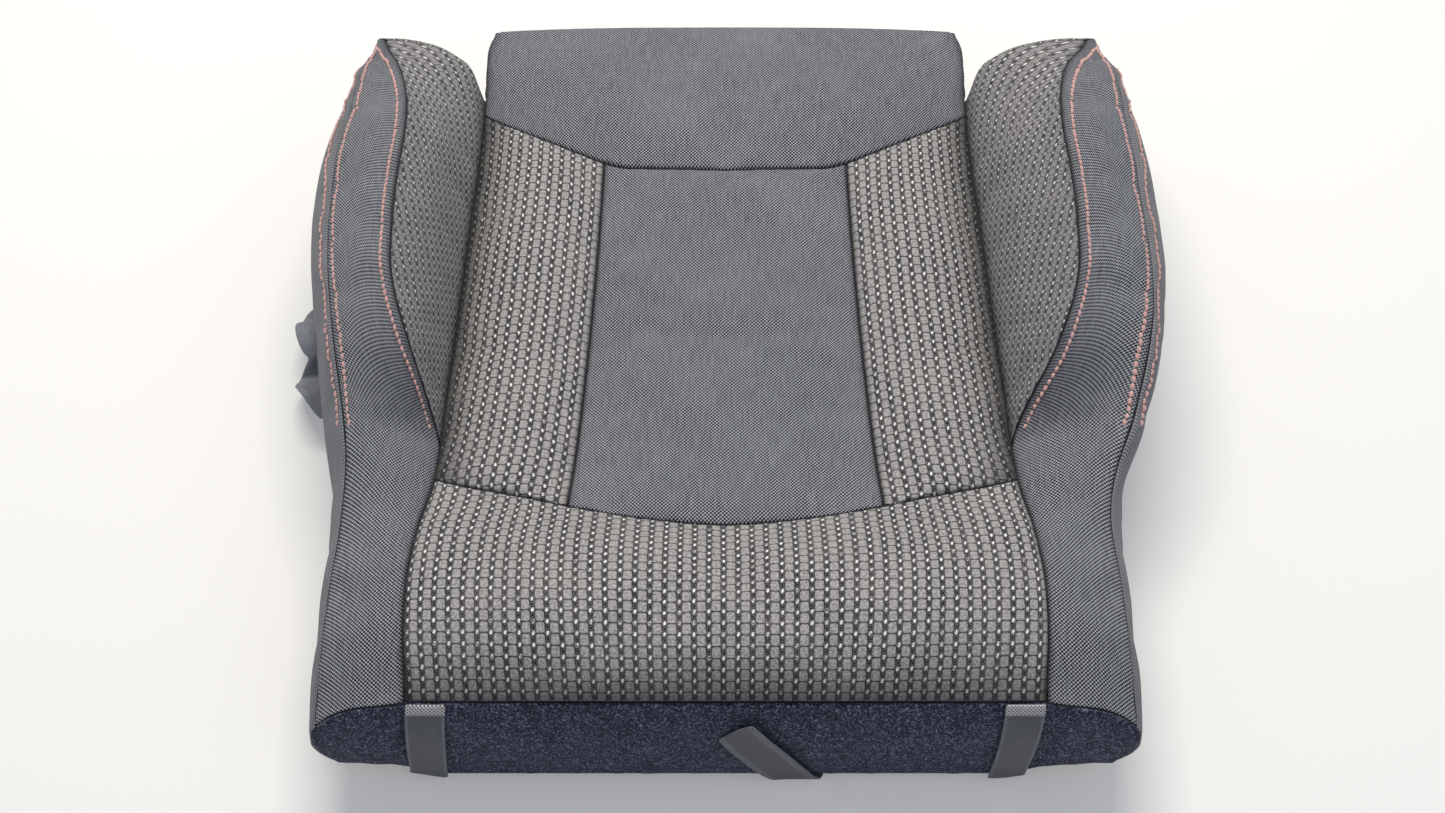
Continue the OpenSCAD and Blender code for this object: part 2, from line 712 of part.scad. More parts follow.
// ---------------------------------------------------------------- straps and flap
strap_gap = 0.4;
left_lean = strap_w / 2;         // how far each strap drifts outwards on its way down
right_lean = strap_w / 12;
function strap_point(x, v, lift) =
    let (
        p = band_face(x / front_half, min(v, 1)),
        out = -inward(p, centre_rear),
        tail = max(v - 1, 0)
    )
    p + lift * out + tail * [0, 0, -48];

module front_strap(side, foot_shift) {
    levels = [0.02, 0.12, 0.25, 0.4, 0.55, 0.7, 0.85, 0.98, 1.12, 1.25];
    function row(v, lift) = [
        for (k = [0 : 3])
            strap_point(strap_x + foot_shift * v + mix(-strap_w / 2, strap_w / 2, k / 3), v, lift)
    ];
    outer = [for (v = backward(levels)) row(v, strap_gap + strap_t)];
    inner = [for (v = backward(levels)) row(v, strap_gap)];
    color(webbing) placed(side) sheet(outer, inner);
}

// Loose strap: it comes out under the front edge, turns up and twists to a cut end
tab_line = [
    [52, foot_front - 2 * seam_gap, 9], [51, 20, 4], [49, 12, 1.4], [46, 5, 1.8], [43, 2, 8],
    [38, 1, 18], [32, 1, 30], [24, 2, 44], [14, 4, 60], [6, 6, 74]
];
tab_turn = [0, 0, 0, 0, 4, 10, 18, 28, 38, 46];

module centre_strap() {
    steps = 18;
    function at(k) = along(tab_line, k / steps);
    function frame_at(k) =
        let (
            ahead = unit(at(min(k + 1, steps)) - at(max(k - 1, 0))),
            turn = along(tab_turn, k / steps),
            wide = unit([cos(turn), 0, sin(turn)]),
            face = unit(cross(ahead, wide))
        )
        [wide - (wide * face) * face, face];
    function row(k, lift) =
        let (f = frame_at(k))
        [for (j = [0 : 3]) at(k) + mix(-tab_w / 2, tab_w / 2, j / 3) * f[0] + lift * f[1]];
    outer = [for (k = [0 : steps]) row(k, strap_t / 2)];
    inner = [for (k = [0 : steps]) row(k, -strap_t / 2)];
    color(webbing) placed() sheet(inner, outer);
}

// Loose edge of dust cloth that pokes out low behind the left bolster
flap_start = 0.433 * pad_l;
flap_end = 0.59 * pad_l;
module left_side_flap() {
    steps = 10;
    function row(k, drop) =
        let (
            t = k / steps,
            y = mix(flap_start, flap_end, t),
            root = hem(run_s(y)).x - step_w - 2 + seam_gap,
            clear = step_w + 4,
            reach = 38 - 12 * pow(2 * t - 1, 2),
            rise = 7 + 4 * sin(360 * 1.4 * t + 40)
        )
        [
            for (j = [0 : 5])
                let (w = max(j - 1, 0) / 4, x = j == 0 ? 0 : clear + w * reach)
                [root + x, y - 6 * w * (1 - t), flap_t + 0.2 + rise * sin(110 * w) - drop]
        ];
    outer = [for (k = [0 : steps]) row(k, 0)];
    inner = [for (k = [0 : steps]) row(k, flap_t)];
    color(felt_colour) placed(LEFT) sheet(outer, inner);
}

// ---------------------------------------------------------------- hook strips
hook_top = hem_h - seam_gap;
hook_profile = [
    [0, 0], [-hook_t, 0], [-hook_t, -(hem_h - hook_clear) + seam_gap + hook_t * 0.4],
    [-hook_t * 0.6, -(hem_h - hook_clear) + seam_gap],
    [hook_w - hook_t, -(hem_h - hook_clear) + seam_gap],
    [hook_w - hook_t, -(hem_h - hook_clear) + seam_gap + 7],
    [hook_w - 2 * hook_t, -(hem_h - hook_clear) + seam_gap + 7],
    [hook_w - 2 * hook_t, -(hem_h - hook_clear) + seam_gap + hook_t],
    [0, -(hem_h - hook_clear) + seam_gap + hook_t]
];

module front_hook_strip() {
    reach = band_half - 50;
    path = [for (k = [0 : 8]) [mix(-reach, reach, k / 8), hem(0).y + hook_t + 0.5, hook_top]];
    color(plastic) placed() sweep(path, hook_profile);
}

module rear_hook_strip() {
    reach = rim_half - 24;
    path = [for (k = [0 : 8])
        let (x = mix(reach, -reach, k / 8))
        [x, pad_l - rim_bow * pow(abs(x) / rim_half, 3) - hook_t - 0.5, hook_top]];
    color(plastic) placed() sweep(path, hook_profile);
}

module side_hook_strip(side) {
    path = [for (k = [0 : 12])
        let (p = hem(mix(0.12, 0.93, k / 12))) [p.x - hook_t - 0.5, p.y, hook_top]];
    color(plastic) placed(side) sweep(path, hook_profile);
}

// ---------------------------------------------------------------- listing
list_z = tie_z + wire_rise;
function disc(r, n) = [for (k = [0 : n - 1]) r * [cos(360 * k / n), sin(360 * k / n)]];
function lifted(path, z) = [for (p = path) [p.x, p.y, z]];

module wire(path, z) {
    color(steel) placed() sweep(lifted(path, z), disc(wire_d / 2, 8));
}

// Cloth sleeve: a tube round the wire that carries on up to the seam
sleeve_gap = 0.3;
function sleeve_profile(top) =
    let (r = wire_d / 2 + sleeve_gap, w = sleeve_t / 2)
    concat(
        [[w, top], [-w, top], [-w, r + sleeve_t]],
        [for (a = [120 : 30 : 240]) (r + sleeve_t) * [cos(a), sin(a)]],
        [for (a = [270 : 30 : 420]) (r + sleeve_t) * [cos(a), sin(a)]],
        [[w, r + sleeve_t]]
    );

// Stations of the hog rings along a run
function ring_places(path) = [
    for (k = [0 : ring_count - 1])
        let (t = (k + 0.5) / ring_count * (len(path) - 1), i = floor(t), f = t - i)
        [mix(path[i], path[min(i + 1, len(path) - 1)], f), heading(path, i)]
];
function runs() = [front_run(), rear_run(), valley_run(), [for (p = valley_run()) flip(p)]];

module sleeve(path) {
    rings = [
        for (i = [0 : len(path) - 1])
            let (h = heading(path, i), top = path[i].z - cover_t - 1 - list_z)
            [for (q = sleeve_profile(top)) [path[i].x - h.y * q.x, path[i].y + h.x * q.x, list_z + q.y]]
    ];
    color(plain_cloth) placed() difference() {
        loft(rings);
        sweep(lifted([
            for (i = [0 : len(path) - 1])
                i == 0 ? path[0] - heading(path, 0)
                    : i == len(path) - 1 ? path[i] + heading(path, i) : path[i]
        ], list_z), disc(wire_d / 2 + sleeve_gap, 8));
        for (place = ring_places(path))
            translate([place[0].x, place[0].y, list_z - 6])
                rotate(atan2(place[1].y, place[1].x))
                    translate([-3, -trench_w / 2, 0]) cube([6, trench_w, 12.5]);
    }
}

module hog_ring() {
    rotate([90, 0, 90]) rotate_extrude(angle = 350)
        translate([ring_r + ring_wire_d / 2, 0]) circle(d = ring_wire_d, $fn = 24);
}

module hog_rings() {
    color(steel) placed() for (path = runs(), place = ring_places(path))
        translate([place[0].x, place[0].y, tie_z + wire_rise / 2])
            rotate(atan2(place[1].y, place[1].x)) hog_ring();
}

// ---------------------------------------------------------------- assembly
foam_core();
bolster_foam(LEFT);  // left_bolster_foam
bolster_foam(RIGHT);  // right_bolster_foam
underside_felt();
centre_panel();
insert_panel(LEFT);  // left_insert_panel
insert_panel(RIGHT);  // right_insert_panel
front_panel();
rear_panel();
rear_skirt();
bolster_inner_panel(LEFT);  // left_bolster_inner_panel
bolster_inner_panel(RIGHT);  // right_bolster_inner_panel
bolster_outer_panel(LEFT);  // left_bolster_outer_panel
bolster_outer_panel(RIGHT);  // right_bolster_outer_panel
bolster_end_panel(LEFT);  // left_bolster_end_panel
bolster_end_panel(RIGHT);  // right_bolster_end_panel
side_panel(LEFT);  // left_side_panel
side_panel(RIGHT);  // right_side_panel
front_fleece_band();
front_strap(LEFT, left_lean);  // left_front_strap
front_strap(RIGHT, right_lean);  // right_front_strap
centre_strap();
left_side_flap();
front_hook_strip();
rear_hook_strip();
side_hook_strip(LEFT);  // left_hook_strip
side_hook_strip(RIGHT);  // right_hook_strip
sleeve(front_run());  // front_listing_sleeve
sleeve(rear_run());  // rear_listing_sleeve
sleeve([for (p = valley_run()) flip(p)]);  // left_listing_sleeve
sleeve(valley_run());  // right_listing_sleeve
wire(front_run(), list_z);  // front_listing_wire
wire(rear_run(), list_z);  // rear_listing_wire
wire([for (p = valley_run()) flip(p)], list_z);  // left_listing_wire
wire(valley_run(), list_z);  // right_listing_wire
wire(front_run(), tie_z);  // front_tie_wire
wire(rear_run(), tie_z);  // rear_tie_wire
wire([for (p = valley_run()) flip(p)], tie_z);  // left_tie_wire
wire(valley_run(), tie_z);  // right_tie_wire
hog_rings();
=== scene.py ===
"""Lower cushion of a sport-style front seat, dressed in its cloths, stitching and webbing."""

import enum
import logging
import math
from collections.abc import Callable, Sequence
from dataclasses import dataclass, field
from functools import partial

import bmesh
import bpy
from mathutils import Euler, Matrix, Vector, noise


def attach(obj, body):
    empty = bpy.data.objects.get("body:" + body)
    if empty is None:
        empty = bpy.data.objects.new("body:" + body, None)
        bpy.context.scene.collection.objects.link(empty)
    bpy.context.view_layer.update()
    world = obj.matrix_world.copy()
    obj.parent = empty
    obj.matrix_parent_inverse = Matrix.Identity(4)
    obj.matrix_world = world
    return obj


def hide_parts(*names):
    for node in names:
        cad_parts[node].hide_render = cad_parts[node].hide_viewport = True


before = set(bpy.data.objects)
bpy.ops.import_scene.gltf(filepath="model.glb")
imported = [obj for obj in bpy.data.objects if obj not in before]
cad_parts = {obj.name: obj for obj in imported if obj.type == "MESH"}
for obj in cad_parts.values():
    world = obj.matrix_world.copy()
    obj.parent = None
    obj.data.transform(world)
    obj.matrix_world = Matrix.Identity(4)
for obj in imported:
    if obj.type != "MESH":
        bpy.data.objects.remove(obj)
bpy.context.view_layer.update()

LOG = logging.getLogger("cushion")
Grid = list[list[Vector]]
Cloth = list[list[tuple[float, float]]]


class Side(enum.Enum):
    """Which half of the cushion a piece belongs to."""

    LEFT = -1
    RIGHT = 1

    @property
    def word(self) -> str:
        """Name of the side as the pieces use it."""
        return self.name.lower()


class Held(enum.Enum):
    """How a sheet of cloth is held in place."""

    STRETCHED = "stretched"
    LAID = "laid"
    HUNG = "hung"


# ------------------------------------------------------------------ small sums
def mix(a, b, t: float):
    """Blend two numbers or vectors.

    Args:
        a: Value at 0.
        b: Value at 1.
        t: Share of the way from a to b.

    Returns:
        The blended value.
    """
    return a + (b - a) * t


def clamp(v: float, lo: float, hi: float) -> float:
    """Return v held between lo and hi."""
    return min(max(v, lo), hi)


def ease(t: float) -> float:
    """Return a smooth step of t from 0 to 1."""
    c = clamp(t, 0.0, 1.0)
    return c * c * (3 - 2 * c)


def ramp(v: float, start: float, run: float) -> float:
    """Return 0 up to start and 1 from start + run on, with a smooth step between."""
    return ease((v - start) / run)


def puff(t: float, power: float) -> float:
    """Return a crown that is 1 in the middle of a run and 0 at both ends."""
    return 1 - abs(2 * t - 1) ** power


def bell(t: float) -> float:
    """Return half a wave that is 0 at both ends of a run."""
    return math.sin(math.pi * clamp(t, 0.0, 1.0))


def along(line: Sequence, t: float):
    """Follow a smooth curve through evenly spaced values.

    Args:
        line: Numbers or vectors that the curve passes through.
        t: Place along the curve, 0 to 1.

    Returns:
        The number or vector at that place.
    """
    n = len(line) - 1
    s = clamp(t, 0.0, 1.0) * n
    i = min(int(s), n - 1)
    f = s - i
    a, b, c, d = line[max(i - 1, 0)], line[i], line[i + 1], line[min(i + 2, n)]
    return 0.5 * (
        2 * b + (c - a) * f + (2 * a - 5 * b + 4 * c - d) * f * f + (3 * b - a - 3 * c + d) * f**3
    )


def flipped(p: Vector) -> Vector:
    """Return a point mirrored to the other half of the cushion."""
    return Vector((-p.x, p.y, p.z))


def metres(p: Vector, side: Side = Side.RIGHT) -> Vector:
    """Turn a point of the pad's millimetre plan into the part's frame.

    Args:
        p: Point measured from the front band, in millimetres.
        side: Half of the cushion that the point is placed in.

    Returns:
        The point in metres.
    """
    return Vector((side.value * p.x, p.y - PAD.pad_l / 2, p.z)) / 1000


# ------------------------------------------------------------------ the pad's shape
@dataclass(frozen=True)
class PadShape:
    """Sizes, seam lines and surfaces of the sewn pad, in millimetres from the front band."""

    front_w: float = 500
    pad_l: float = 573
    roll_h: float = 109
    seat_h: float = 70
    bolster_h: float = 158
    outer_seam_h: float = 138
    valley_w: float = 376
    crest_w: float = 442
    outer_seam_w: float = 544
    side_bulge: float = 14
    roll_l: float = 141
    roll_bow: float = 37
    rear_l: float = 135
    rear_bow: float = 54
    tongue_out: float = 54
    tongue_w: float = 354
    centre_front_w: float = 202
    centre_rear_w: float = 174
    groove_d: float = 3
    cover_t: float = 3
    hem_h: float = 16
    centre_crown: float = 4
    insert_crown: float = 13
    front_crown: float = 11
    band_swell: float = 5
    tip_lift: float = 17
    felt_t: float = 2
    step_w: float = 22
    lip_y: float = 17
    corner_drop: float = 12
    rim_bow: float = 5
    inner_front: float = 60
    inner_top: float = 54
    crest_start: float = 5 / 13
    tuck: tuple[float, ...] = (7, 3, 0, -3, -4, -2, 1, 3.5, 5.5, 6, 7, 6, 5.5, 5.5)
    seam_in: tuple[float, ...] = (1.5, 2.5, 2.5, 2.5, 2.5, 2.5, 2.5, 3, 3.5, 3.5, 3, 2, 0.5, -4)
    bulge: tuple[float, ...] = (
        0.52, 0.56, 0.52, 0.52, 0.64, 0.8, 0.92, 1.02, 1.12, 1.2, 1.2, 1.05, 0.75, 0.45,
    )
    dish: tuple[float, ...] = (0, -6.5, -9, -9.5, -9, -7, -5, -2.5, 0)

    @property
    def tip_y(self) -> float:
        """Rear tips of the bolsters."""
        return self.pad_l - self.tongue_out

    @property
    def tongue_y(self) -> float:
        """Where the valley runs out at the rear."""
        return self.tip_y - 14

    @property
    def bolster_rear(self) -> float:
        """Rear limit of the block that the bolster cloths' thickness points to."""
        return self.tip_y - 29

    @property
    def centre_rear(self) -> float:
        """Rear limit of the block that the centre cloths' thickness points to."""
        return self.pad_l - 13

    @property
    def rim_half(self) -> float:
        """Half the width of the tongue's rear rim."""
        return self.tongue_w / 2 - 4

    def inward(self, p: Vector, rear: float) -> Vector:
        """Direction from a cover point into the pad.

        Args:
            p: Point on the cover.
            rear: Rear limit of the block that the direction points to.

        Returns:
            A unit vector.
        """
        half = self.valley_w / 2 + 17
        return Vector((
            clamp(p.x, -half, half) - p.x,
            clamp(p.y, self.inner_front, rear) - p.y,
            min(p.z, self.inner_top) - p.z,
        )).normalized()

    def run_y(self, s: float) -> float:
        """Distance behind the front band at place s of a bolster."""
        return mix(self.lip_y, self.tip_y, s)

    def run_s(self, y: float) -> float:
        """Place along a bolster at distance y behind the front band."""
        return (y - self.lip_y) / (self.tip_y - self.lip_y)

    def valley(self, s: float) -> Vector:
        """Point on the valley between the seat and the right bolster.

        Args:
            s: Place along the bolster, 0 at the front and 1 at the rear tip.

        Returns:
            The point in millimetres.
        """
        half, low, high = self.valley_w / 2, self.seat_h, self.roll_h
        tongue = self.tongue_w / 2
        xs = [half + d for d in (5, 7, 8, 6, 1, 0, 0, -1.5, -3.5, -5, -7, -9.5)] + [tongue, tongue]
        zs = [high - d for d in (19, 4, 4, 14)]
        zs += [low + d for d in (12, -1, -7, -10, -11, -11, -10, -8, -5, 0)]
        return Vector((along(xs, s), min(self.run_y(s), self.tongue_y), along(zs, s)))

    def crest(self, s: float) -> Vector:
        """Point on the crest seam of the right bolster.

        Args:
            s: Place along the bolster, 0 at the front and 1 at the rear tip.

        Returns:
            The point in millimetres.
        """
        t = (s - self.crest_start) / (1 - self.crest_start)
        xs = [self.valley_w / 2] + [self.crest_w / 2 + d for d in (-14, -2, 0.5, 0.5, -1, 0, 6, 20)]
        zs = [self.seat_h + 1] + [self.bolster_h - d for d in (24, 5, 0, 0, 3, 9.5, 22.5, 39)]
        return Vector((along(xs, t), self.run_y(s), along(zs, t)))

    def outer_x(self, s: float) -> float:
        """Half the width over the outer seams at place s.

        Args:
            s: Place along the bolster, 0 at the front and 1 at the rear tip.

        Returns:
            The distance from the middle in millimetres.
        """
        xs = [self.front_w / 2 - d for d in (0, 0.5, 2, 5, 4, -2)]
        xs += [self.outer_seam_w / 2 - d for d in (13, 6.5, 1.5, 0, 1, 8, 16.5, 29)]
        return along(xs, s)

    def outer_seam(self, s: float) -> Vector:
        """Point on the outer seam of the right bolster.

        Args:
            s: Place along the bolster, 0 at the front and 1 at the rear tip.

        Returns:
            The point in millimetres.
        """
        zs = [self.roll_h - d for d in (30, 17, 13, 9.5, 3)]
        zs += [self.outer_seam_h - d for d in (20, 8, 2, 0.5, 0, 0.5, 4, 11, 25)]
        y = self.run_y(s) - self.corner_drop * (1 - ease(s * 13))
        return Vector((self.outer_x(s) - along(self.seam_in, s), y, along(zs, s)))

    def hem(self, s: float) -> Vector:
        """Point on the right hem.

        Args:
            s: Place along the bolster, 0 at the front and 1 at the rear tip.

        Returns:
            The point in millimetres.
        """
        y = self.run_y(s) - (self.corner_drop - 1) * (1 - ease(s * 13))
        z = self.hem_h + 5 * (1 - ease(s * 11)) - 11 * ramp(s, 0.93, 0.05)
        z -= 9 * ramp(s, 0.045, 0.04) * (1 - ramp(s, 0.1, 0.04))
        return Vector((self.outer_x(s) - along(self.tuck, s), y, z))

    def strip_edge(self, s: float) -> Vector:
        """Inner edge of the right bolster's plain outer cloth."""
        return self.valley(s) if s <= self.crest_start else self.crest(s)

    def puffed(self, a: Vector, b: Vector, w: float, fade: float) -> Vector:
        """Point on a bolster cloth that swells between two seams.

        Args:
            a: Point on the first seam.
            b: Point on the second seam.
            w: Share of the way from a to b.
            fade: Share of the full swell.

        Returns:
            The swollen point.
        """
        p = mix(a, b, w)
        swell = 0.1 * (b - a).length * 4 * w * (1 - w) * fade
        return p - swell * self.inward(p, self.bolster_rear)

    def inner_face(self, s: float, w: float) -> Vector:
        """Point on the bolster's seat-side cloth, w from the valley to the crest.

        Args:
            s: Place along the bolster, 0 at the front and 1 at the rear tip.
            w: Place across the cloth, 0 at its inner seam.

        Returns:
            The point in millimetres.
        """
        p = self.puffed(self.valley(s), self.crest(s), w, 1)
        rise = ramp(s, 0.84, 0.16) * ease(w / 0.16) * (self.tip_lift * (1 - w) ** 2 + 6 * bell(w))
        return p - rise * self.inward(p, self.bolster_rear)

    def outer_face(self, s: float, w: float) -> Vector:
        """Point on the bolster's plain cloth, w from its inner edge to the outer seam.

        Args:
            s: Place along the bolster, 0 at the front and 1 at the rear tip.
            w: Place across the cloth, 0 at its inner seam.

        Returns:
            The point in millimetres.
        """
        p = self.puffed(self.strip_edge(s), self.outer_seam(s), w, 1)
        p += self.corner_lift * bell(w**1.3) * (1 - ease(s * 8))
        return p - 2 * ramp(s, 0.84, 0.16) * bell(w) * self.inward(p, self.bolster_rear)

    @property
    def corner_lift(self) -> Vector:
        """How far the seam over a front corner of the band bows up and back."""
        return Vector((0, 6, 4.5))

    def side_face(self, s: float, w: float) -> Vector:
        """Point on the side cloth, w from the outer seam down to the hem.

        Args:
            s: Place along the bolster, 0 at the front and 1 at the rear tip.
            w: Place down the cloth, 0 at the outer seam.

        Returns:
            The point in millimetres.
        """
        p = mix(self.outer_seam(s), self.hem(s), w)
        swell = self.side_bulge * along(self.bulge, s) * math.sin(math.pi * w**0.6)
        return p - swell * self.inward(p, self.bolster_rear)

    def end_foot(self, u: float) -> Vector:
        """Point on the lower edge of a bolster's rear end.

        Args:
            u: Place outwards, 0 beside the tongue.

        Returns:
            The point in millimetres.
        """
        return Vector((
            mix(self.tongue_w / 2, self.hem(1).x, u), mix(self.tongue_y + 4, self.tip_y, u), self.hem(1).z,
        ))

    def end_top(self, u: float) -> Vector:
        """Point on the upper edge of a bolster's rear end, from the valley over the crest."""
        return self.inner_face(1, u / 0.86) if u <= 0.86 else self.outer_face(1, (u - 0.86) / 0.14)

    def end_face(self, u: float, v: float) -> Vector:
        """Point on a bolster's rear end, u outwards and v down.

        Args:
            u: Place outwards, 0 beside the tongue.
            v: Place downwards, 0 at the top.

        Returns:
            The point in millimetres.
        """
        inner_edge = mix(self.end_top(0), self.end_foot(0), v)
        cross = mix(
            mix(self.end_top(0), self.end_top(1), u),
            mix(self.end_foot(0), self.end_foot(1), u), v,
        )
        swell = Vector((0, 9 * bell(v**0.7) * bell(u), 0))
        down = mix(self.end_top(u), self.end_foot(u), v)
        return down + mix(inner_edge, self.side_face(1, v), u) - cross + swell

    def across(self, half: float, quarter: float, t: float) -> float:
        """Place across the pad, with the centre panel's seams at 1/4 and 3/4.

        Args:
            half: Place of the outer end.
            quarter: Place of the centre panel's seam.
            t: Place along the seam, 0 at the left and 1 at the right.

        Returns:
            The place in millimetres, less than 0 on the left.
        """
        knee = mix(half, quarter, 0.5)
        return along(
            [-half, -knee, -quarter, -quarter / 2, 0, quarter / 2, quarter, knee, half], t
        )

    def front_line(self, t: float) -> Vector:
        """Point on the seam between the front panel and the band."""
        edge = self.valley(0)
        return Vector((mix(-1, 1, t) * edge.x, self.lip_y, edge.z))

    def roll_line(self, t: float) -> Vector:
        """Point on the seam behind the front roll.

        Args:
            t: Place along the seam, 0 at the left and 1 at the right.

        Returns:
            The point in millimetres.
        """
        end = self.valley(self.run_s(self.roll_l + self.roll_bow))
        x = self.across(end.x, self.centre_front_w / 2, t)
        far = abs(x) / end.x
        z = mix(self.seat_h + 16, end.z, ramp(far, 0.65, 0.35))
        return Vector((x, self.roll_l + self.roll_bow * far**1.6, z))

    def rear_line(self, t: float) -> Vector:
        """Point on the seam in front of the rear panel.

        Args:
            t: Place along the seam, 0 at the left and 1 at the right.

        Returns:
            The point in millimetres.
        """
        rear_y = self.pad_l - self.rear_l
        end = self.valley(self.run_s(rear_y + self.rear_bow))
        x = self.across(end.x, self.centre_rear_w / 2, t)
        far = abs(x) / end.x
        z = mix(self.seat_h + 1, end.z, ramp(far, 0.65, 0.35)) + 3 * far * (1 - far)
        bow = 0.94 * (max(far - 0.42, 0) / 0.58) ** 1.2 + 0.06 * far
        return Vector((x, rear_y + self.rear_bow * bow, z))

    def rim_line(self, t: float) -> Vector:
        """Point on the rear rim of the tongue.

        Args:
            t: Place along the seam, 0 at the left and 1 at the right.

        Returns:
            The point in millimetres.
        """
        x = self.across(self.rim_half, self.rim_half / 2, t)
        y = self.pad_l - self.rim_bow * (abs(x) / self.rim_half) ** 3
        return Vector((x, y, self.seat_h + 3))

    def centre_seam(self, v: float) -> Vector:
        """Point on the right-hand centre seam, v to the rear."""
        p = mix(self.roll_line(0.75), self.rear_line(0.75), v)
        return p + Vector((-7 * v * (1 - v), 0, along(self.dish, v) - self.groove_d * puff(v, 6)))

    def valley_edge(self, v: float) -> Vector:
        """Point on the right edge of the seat, v from the roll seam to the rear seam."""
        return self.valley(self.run_s(mix(self.roll_line(1).y, self.rear_line(1).y, v)))

    def tongue_edge(self, v: float) -> Vector:
        """Point on the right edge of the rear panel.

        Args:
            v: Place towards the rear, 0 at the front seam.

        Returns:
            The point in millimetres.
        """
        end = self.rear_line(1)
        return Vector((
            end.x - (end.x - self.rim_half) * ramp(v, 0.75, 0.25),
            mix(end.y, self.pad_l - self.rim_bow, v),
            mix(end.z, self.seat_h + 3, ease(v * 1.5)),
        ))

    def patch(
        self,
        front: Callable[[float], Vector],
        rear: Callable[[float], Vector],
        sides: tuple[Vector, Vector],
        span: tuple[float, float],
        u: float,
        v: float,
    ) -> Vector:
        """Point on a patch that meets four seam lines exactly.

        Args:
            front: Seam line at the patch's front.
            rear: Seam line at its rear.
            sides: Points of the left and right edges at v.
            span: Where the patch starts and ends on the front and rear lines.
            u: Place across the patch.
            v: Place towards the rear.

        Returns:
            The point, without its crown.
        """
        t0, t1 = span
        t = mix(t0, t1, u)
        corners = mix(mix(front(t0), front(t1), u), mix(rear(t0), rear(t1), u), v)
        return mix(front(t), rear(t), v) + mix(sides[0], sides[1], u) - corners

    def front_top(self, t: float, v: float) -> Vector:
        """Point on the front panel.

        Args:
            t: Place across the panel, 0 at its left.
            v: Place towards the rear, 0 at the front seam.

        Returns:
            The point in millimetres.
        """
        side = self.valley(self.run_s(mix(self.lip_y, self.roll_line(1).y, v)))
        p = self.patch(self.front_line, self.roll_line, (flipped(side), side), (0, 1), t, v)
        lift = self.front_crown * puff(t, 4) * max(bell(clamp(v, 0, 1) ** 0.8), 0) ** 0.7
        return p + Vector((0, 0, lift))

    def insert_top(self, u: float, v: float) -> Vector:
        """Point on the right side insert, u from the centre seam to the valley.

        Args:
            u: Place across the panel, 0 at its left.
            v: Place towards the rear, 0 at the front seam.

        Returns:
            The point in millimetres.
        """
        sides = (self.centre_seam(v), self.valley_edge(v))
        p = self.patch(self.roll_line, self.rear_line, sides, (0.75, 1), u, v)
        return p + Vector((0, 0, self.insert_crown * puff(u, 2.8) * puff(v, 7)))

    def centre_top(self, u: float, v: float) -> Vector:
        """Point on the centre panel.

        Args:
            u: Place across the panel, 0 at its left.
            v: Place towards the rear, 0 at the front seam.

        Returns:
            The point in millimetres.
        """
        seam = self.centre_seam(v)
        p = self.patch(self.roll_line, self.rear_line, (flipped(seam), seam), (0.25, 0.75), u, v)
        return p + Vector((0, 0, self.centre_crown * puff(u, 5) * puff(v, 8)))

    def rear_top(self, t: float, v: float) -> Vector:
        """Point on the rear panel over the tongue.

        Args:
            t: Place across the panel, 0 at its left.
            v: Place towards the rear, 0 at the front seam.

        Returns:
            The point in millimetres.
        """
        edge = self.tongue_edge(v)
        p = self.patch(self.rear_line, self.rim_line, (flipped(edge), edge), (0, 1), t, v)
        lift = 5 * puff(t, 6) * max(bell(clamp(v, 0, 1) ** 0.7), 0) ** 0.8
        return p + Vector((0, 0, lift))

    def band_top(self, u: float) -> Vector:
        """Point on the fleece band's upper seam, u from -1 at the left to 1.

        Args:
            u: Place across, -1 at the left and 1 at the right.

        Returns:
            The point in millimetres.
        """
        x, edge = abs(u) * self.front_w / 2, self.valley(0)
        if x <= edge.x:
            return Vector((u * self.front_w / 2, self.lip_y, edge.z))
        w = (x - edge.x) / (self.front_w / 2 - edge.x)
        p = self.puffed(edge, self.outer_seam(0), w, 1) + self.corner_lift * bell(w**1.3)
        return Vector((math.copysign(1, u) * p.x, p.y, p.z))

    def band_face(self, u: float, v: float) -> Vector:
        """Point on the fleece band, v from its upper seam down to the hem.

        Args:
            u: Place across, -1 at the left and 1 at the right.
            v: Place downwards, 0 at the upper seam.

        Returns:
            The point in millimetres.
        """
        half = self.hem(0).x
        corner = ease((abs(u) * half - half + 45) / 45)
        over = 1 - ease((abs(u) * half - half + 75) / 45)
        foot = Vector((u * half, self.hem(0).y - 2.2 * over, self.hem_h + 5 * corner - 8 * over))
        off = self.side_face(0, v) - mix(self.outer_seam(0), self.hem(0), v)
        off.x *= math.copysign(1, u)
        p = mix(self.band_top(u), foot, v) + off * abs(u) ** 8
        swell = self.band_swell * puff((u + 1) / 2, 8) * bell(v**0.75)
        return p - swell * self.inward(p, self.centre_rear)

    def skirt_line(self) -> list[Vector]:
        """Plan of the walls of the tongue, from left to right.

        Returns:
            Points in millimetres, all at height 0.
        """
        half, bend = self.tongue_w / 2, self.rim_half + 1
        side_y = self.tongue_y + 3.5
        right = [
            Vector((half, side_y, 0)),
            Vector((half - 0.2, mix(side_y, self.pad_l - 20, 0.6), 0)),
            Vector((half - 0.8, self.pad_l - 18, 0)),
            Vector((bend - 2, self.pad_l - 7.5, 0)),
            Vector((bend - 16, self.pad_l - 4, 0)),
            Vector((self.rim_half / 2, self.pad_l - 0.8, 0)),
        ]
        return [flipped(p) for p in right] + [Vector((0, self.pad_l, 0))] + right[::-1]

    def valley_run(self, t: float) -> Vector:
        """Point on the listing along the right valley."""
        return self.valley(self.run_s(mix(self.roll_line(1).y + 25, self.rear_line(1).y - 30, t)))


PAD = PadShape()


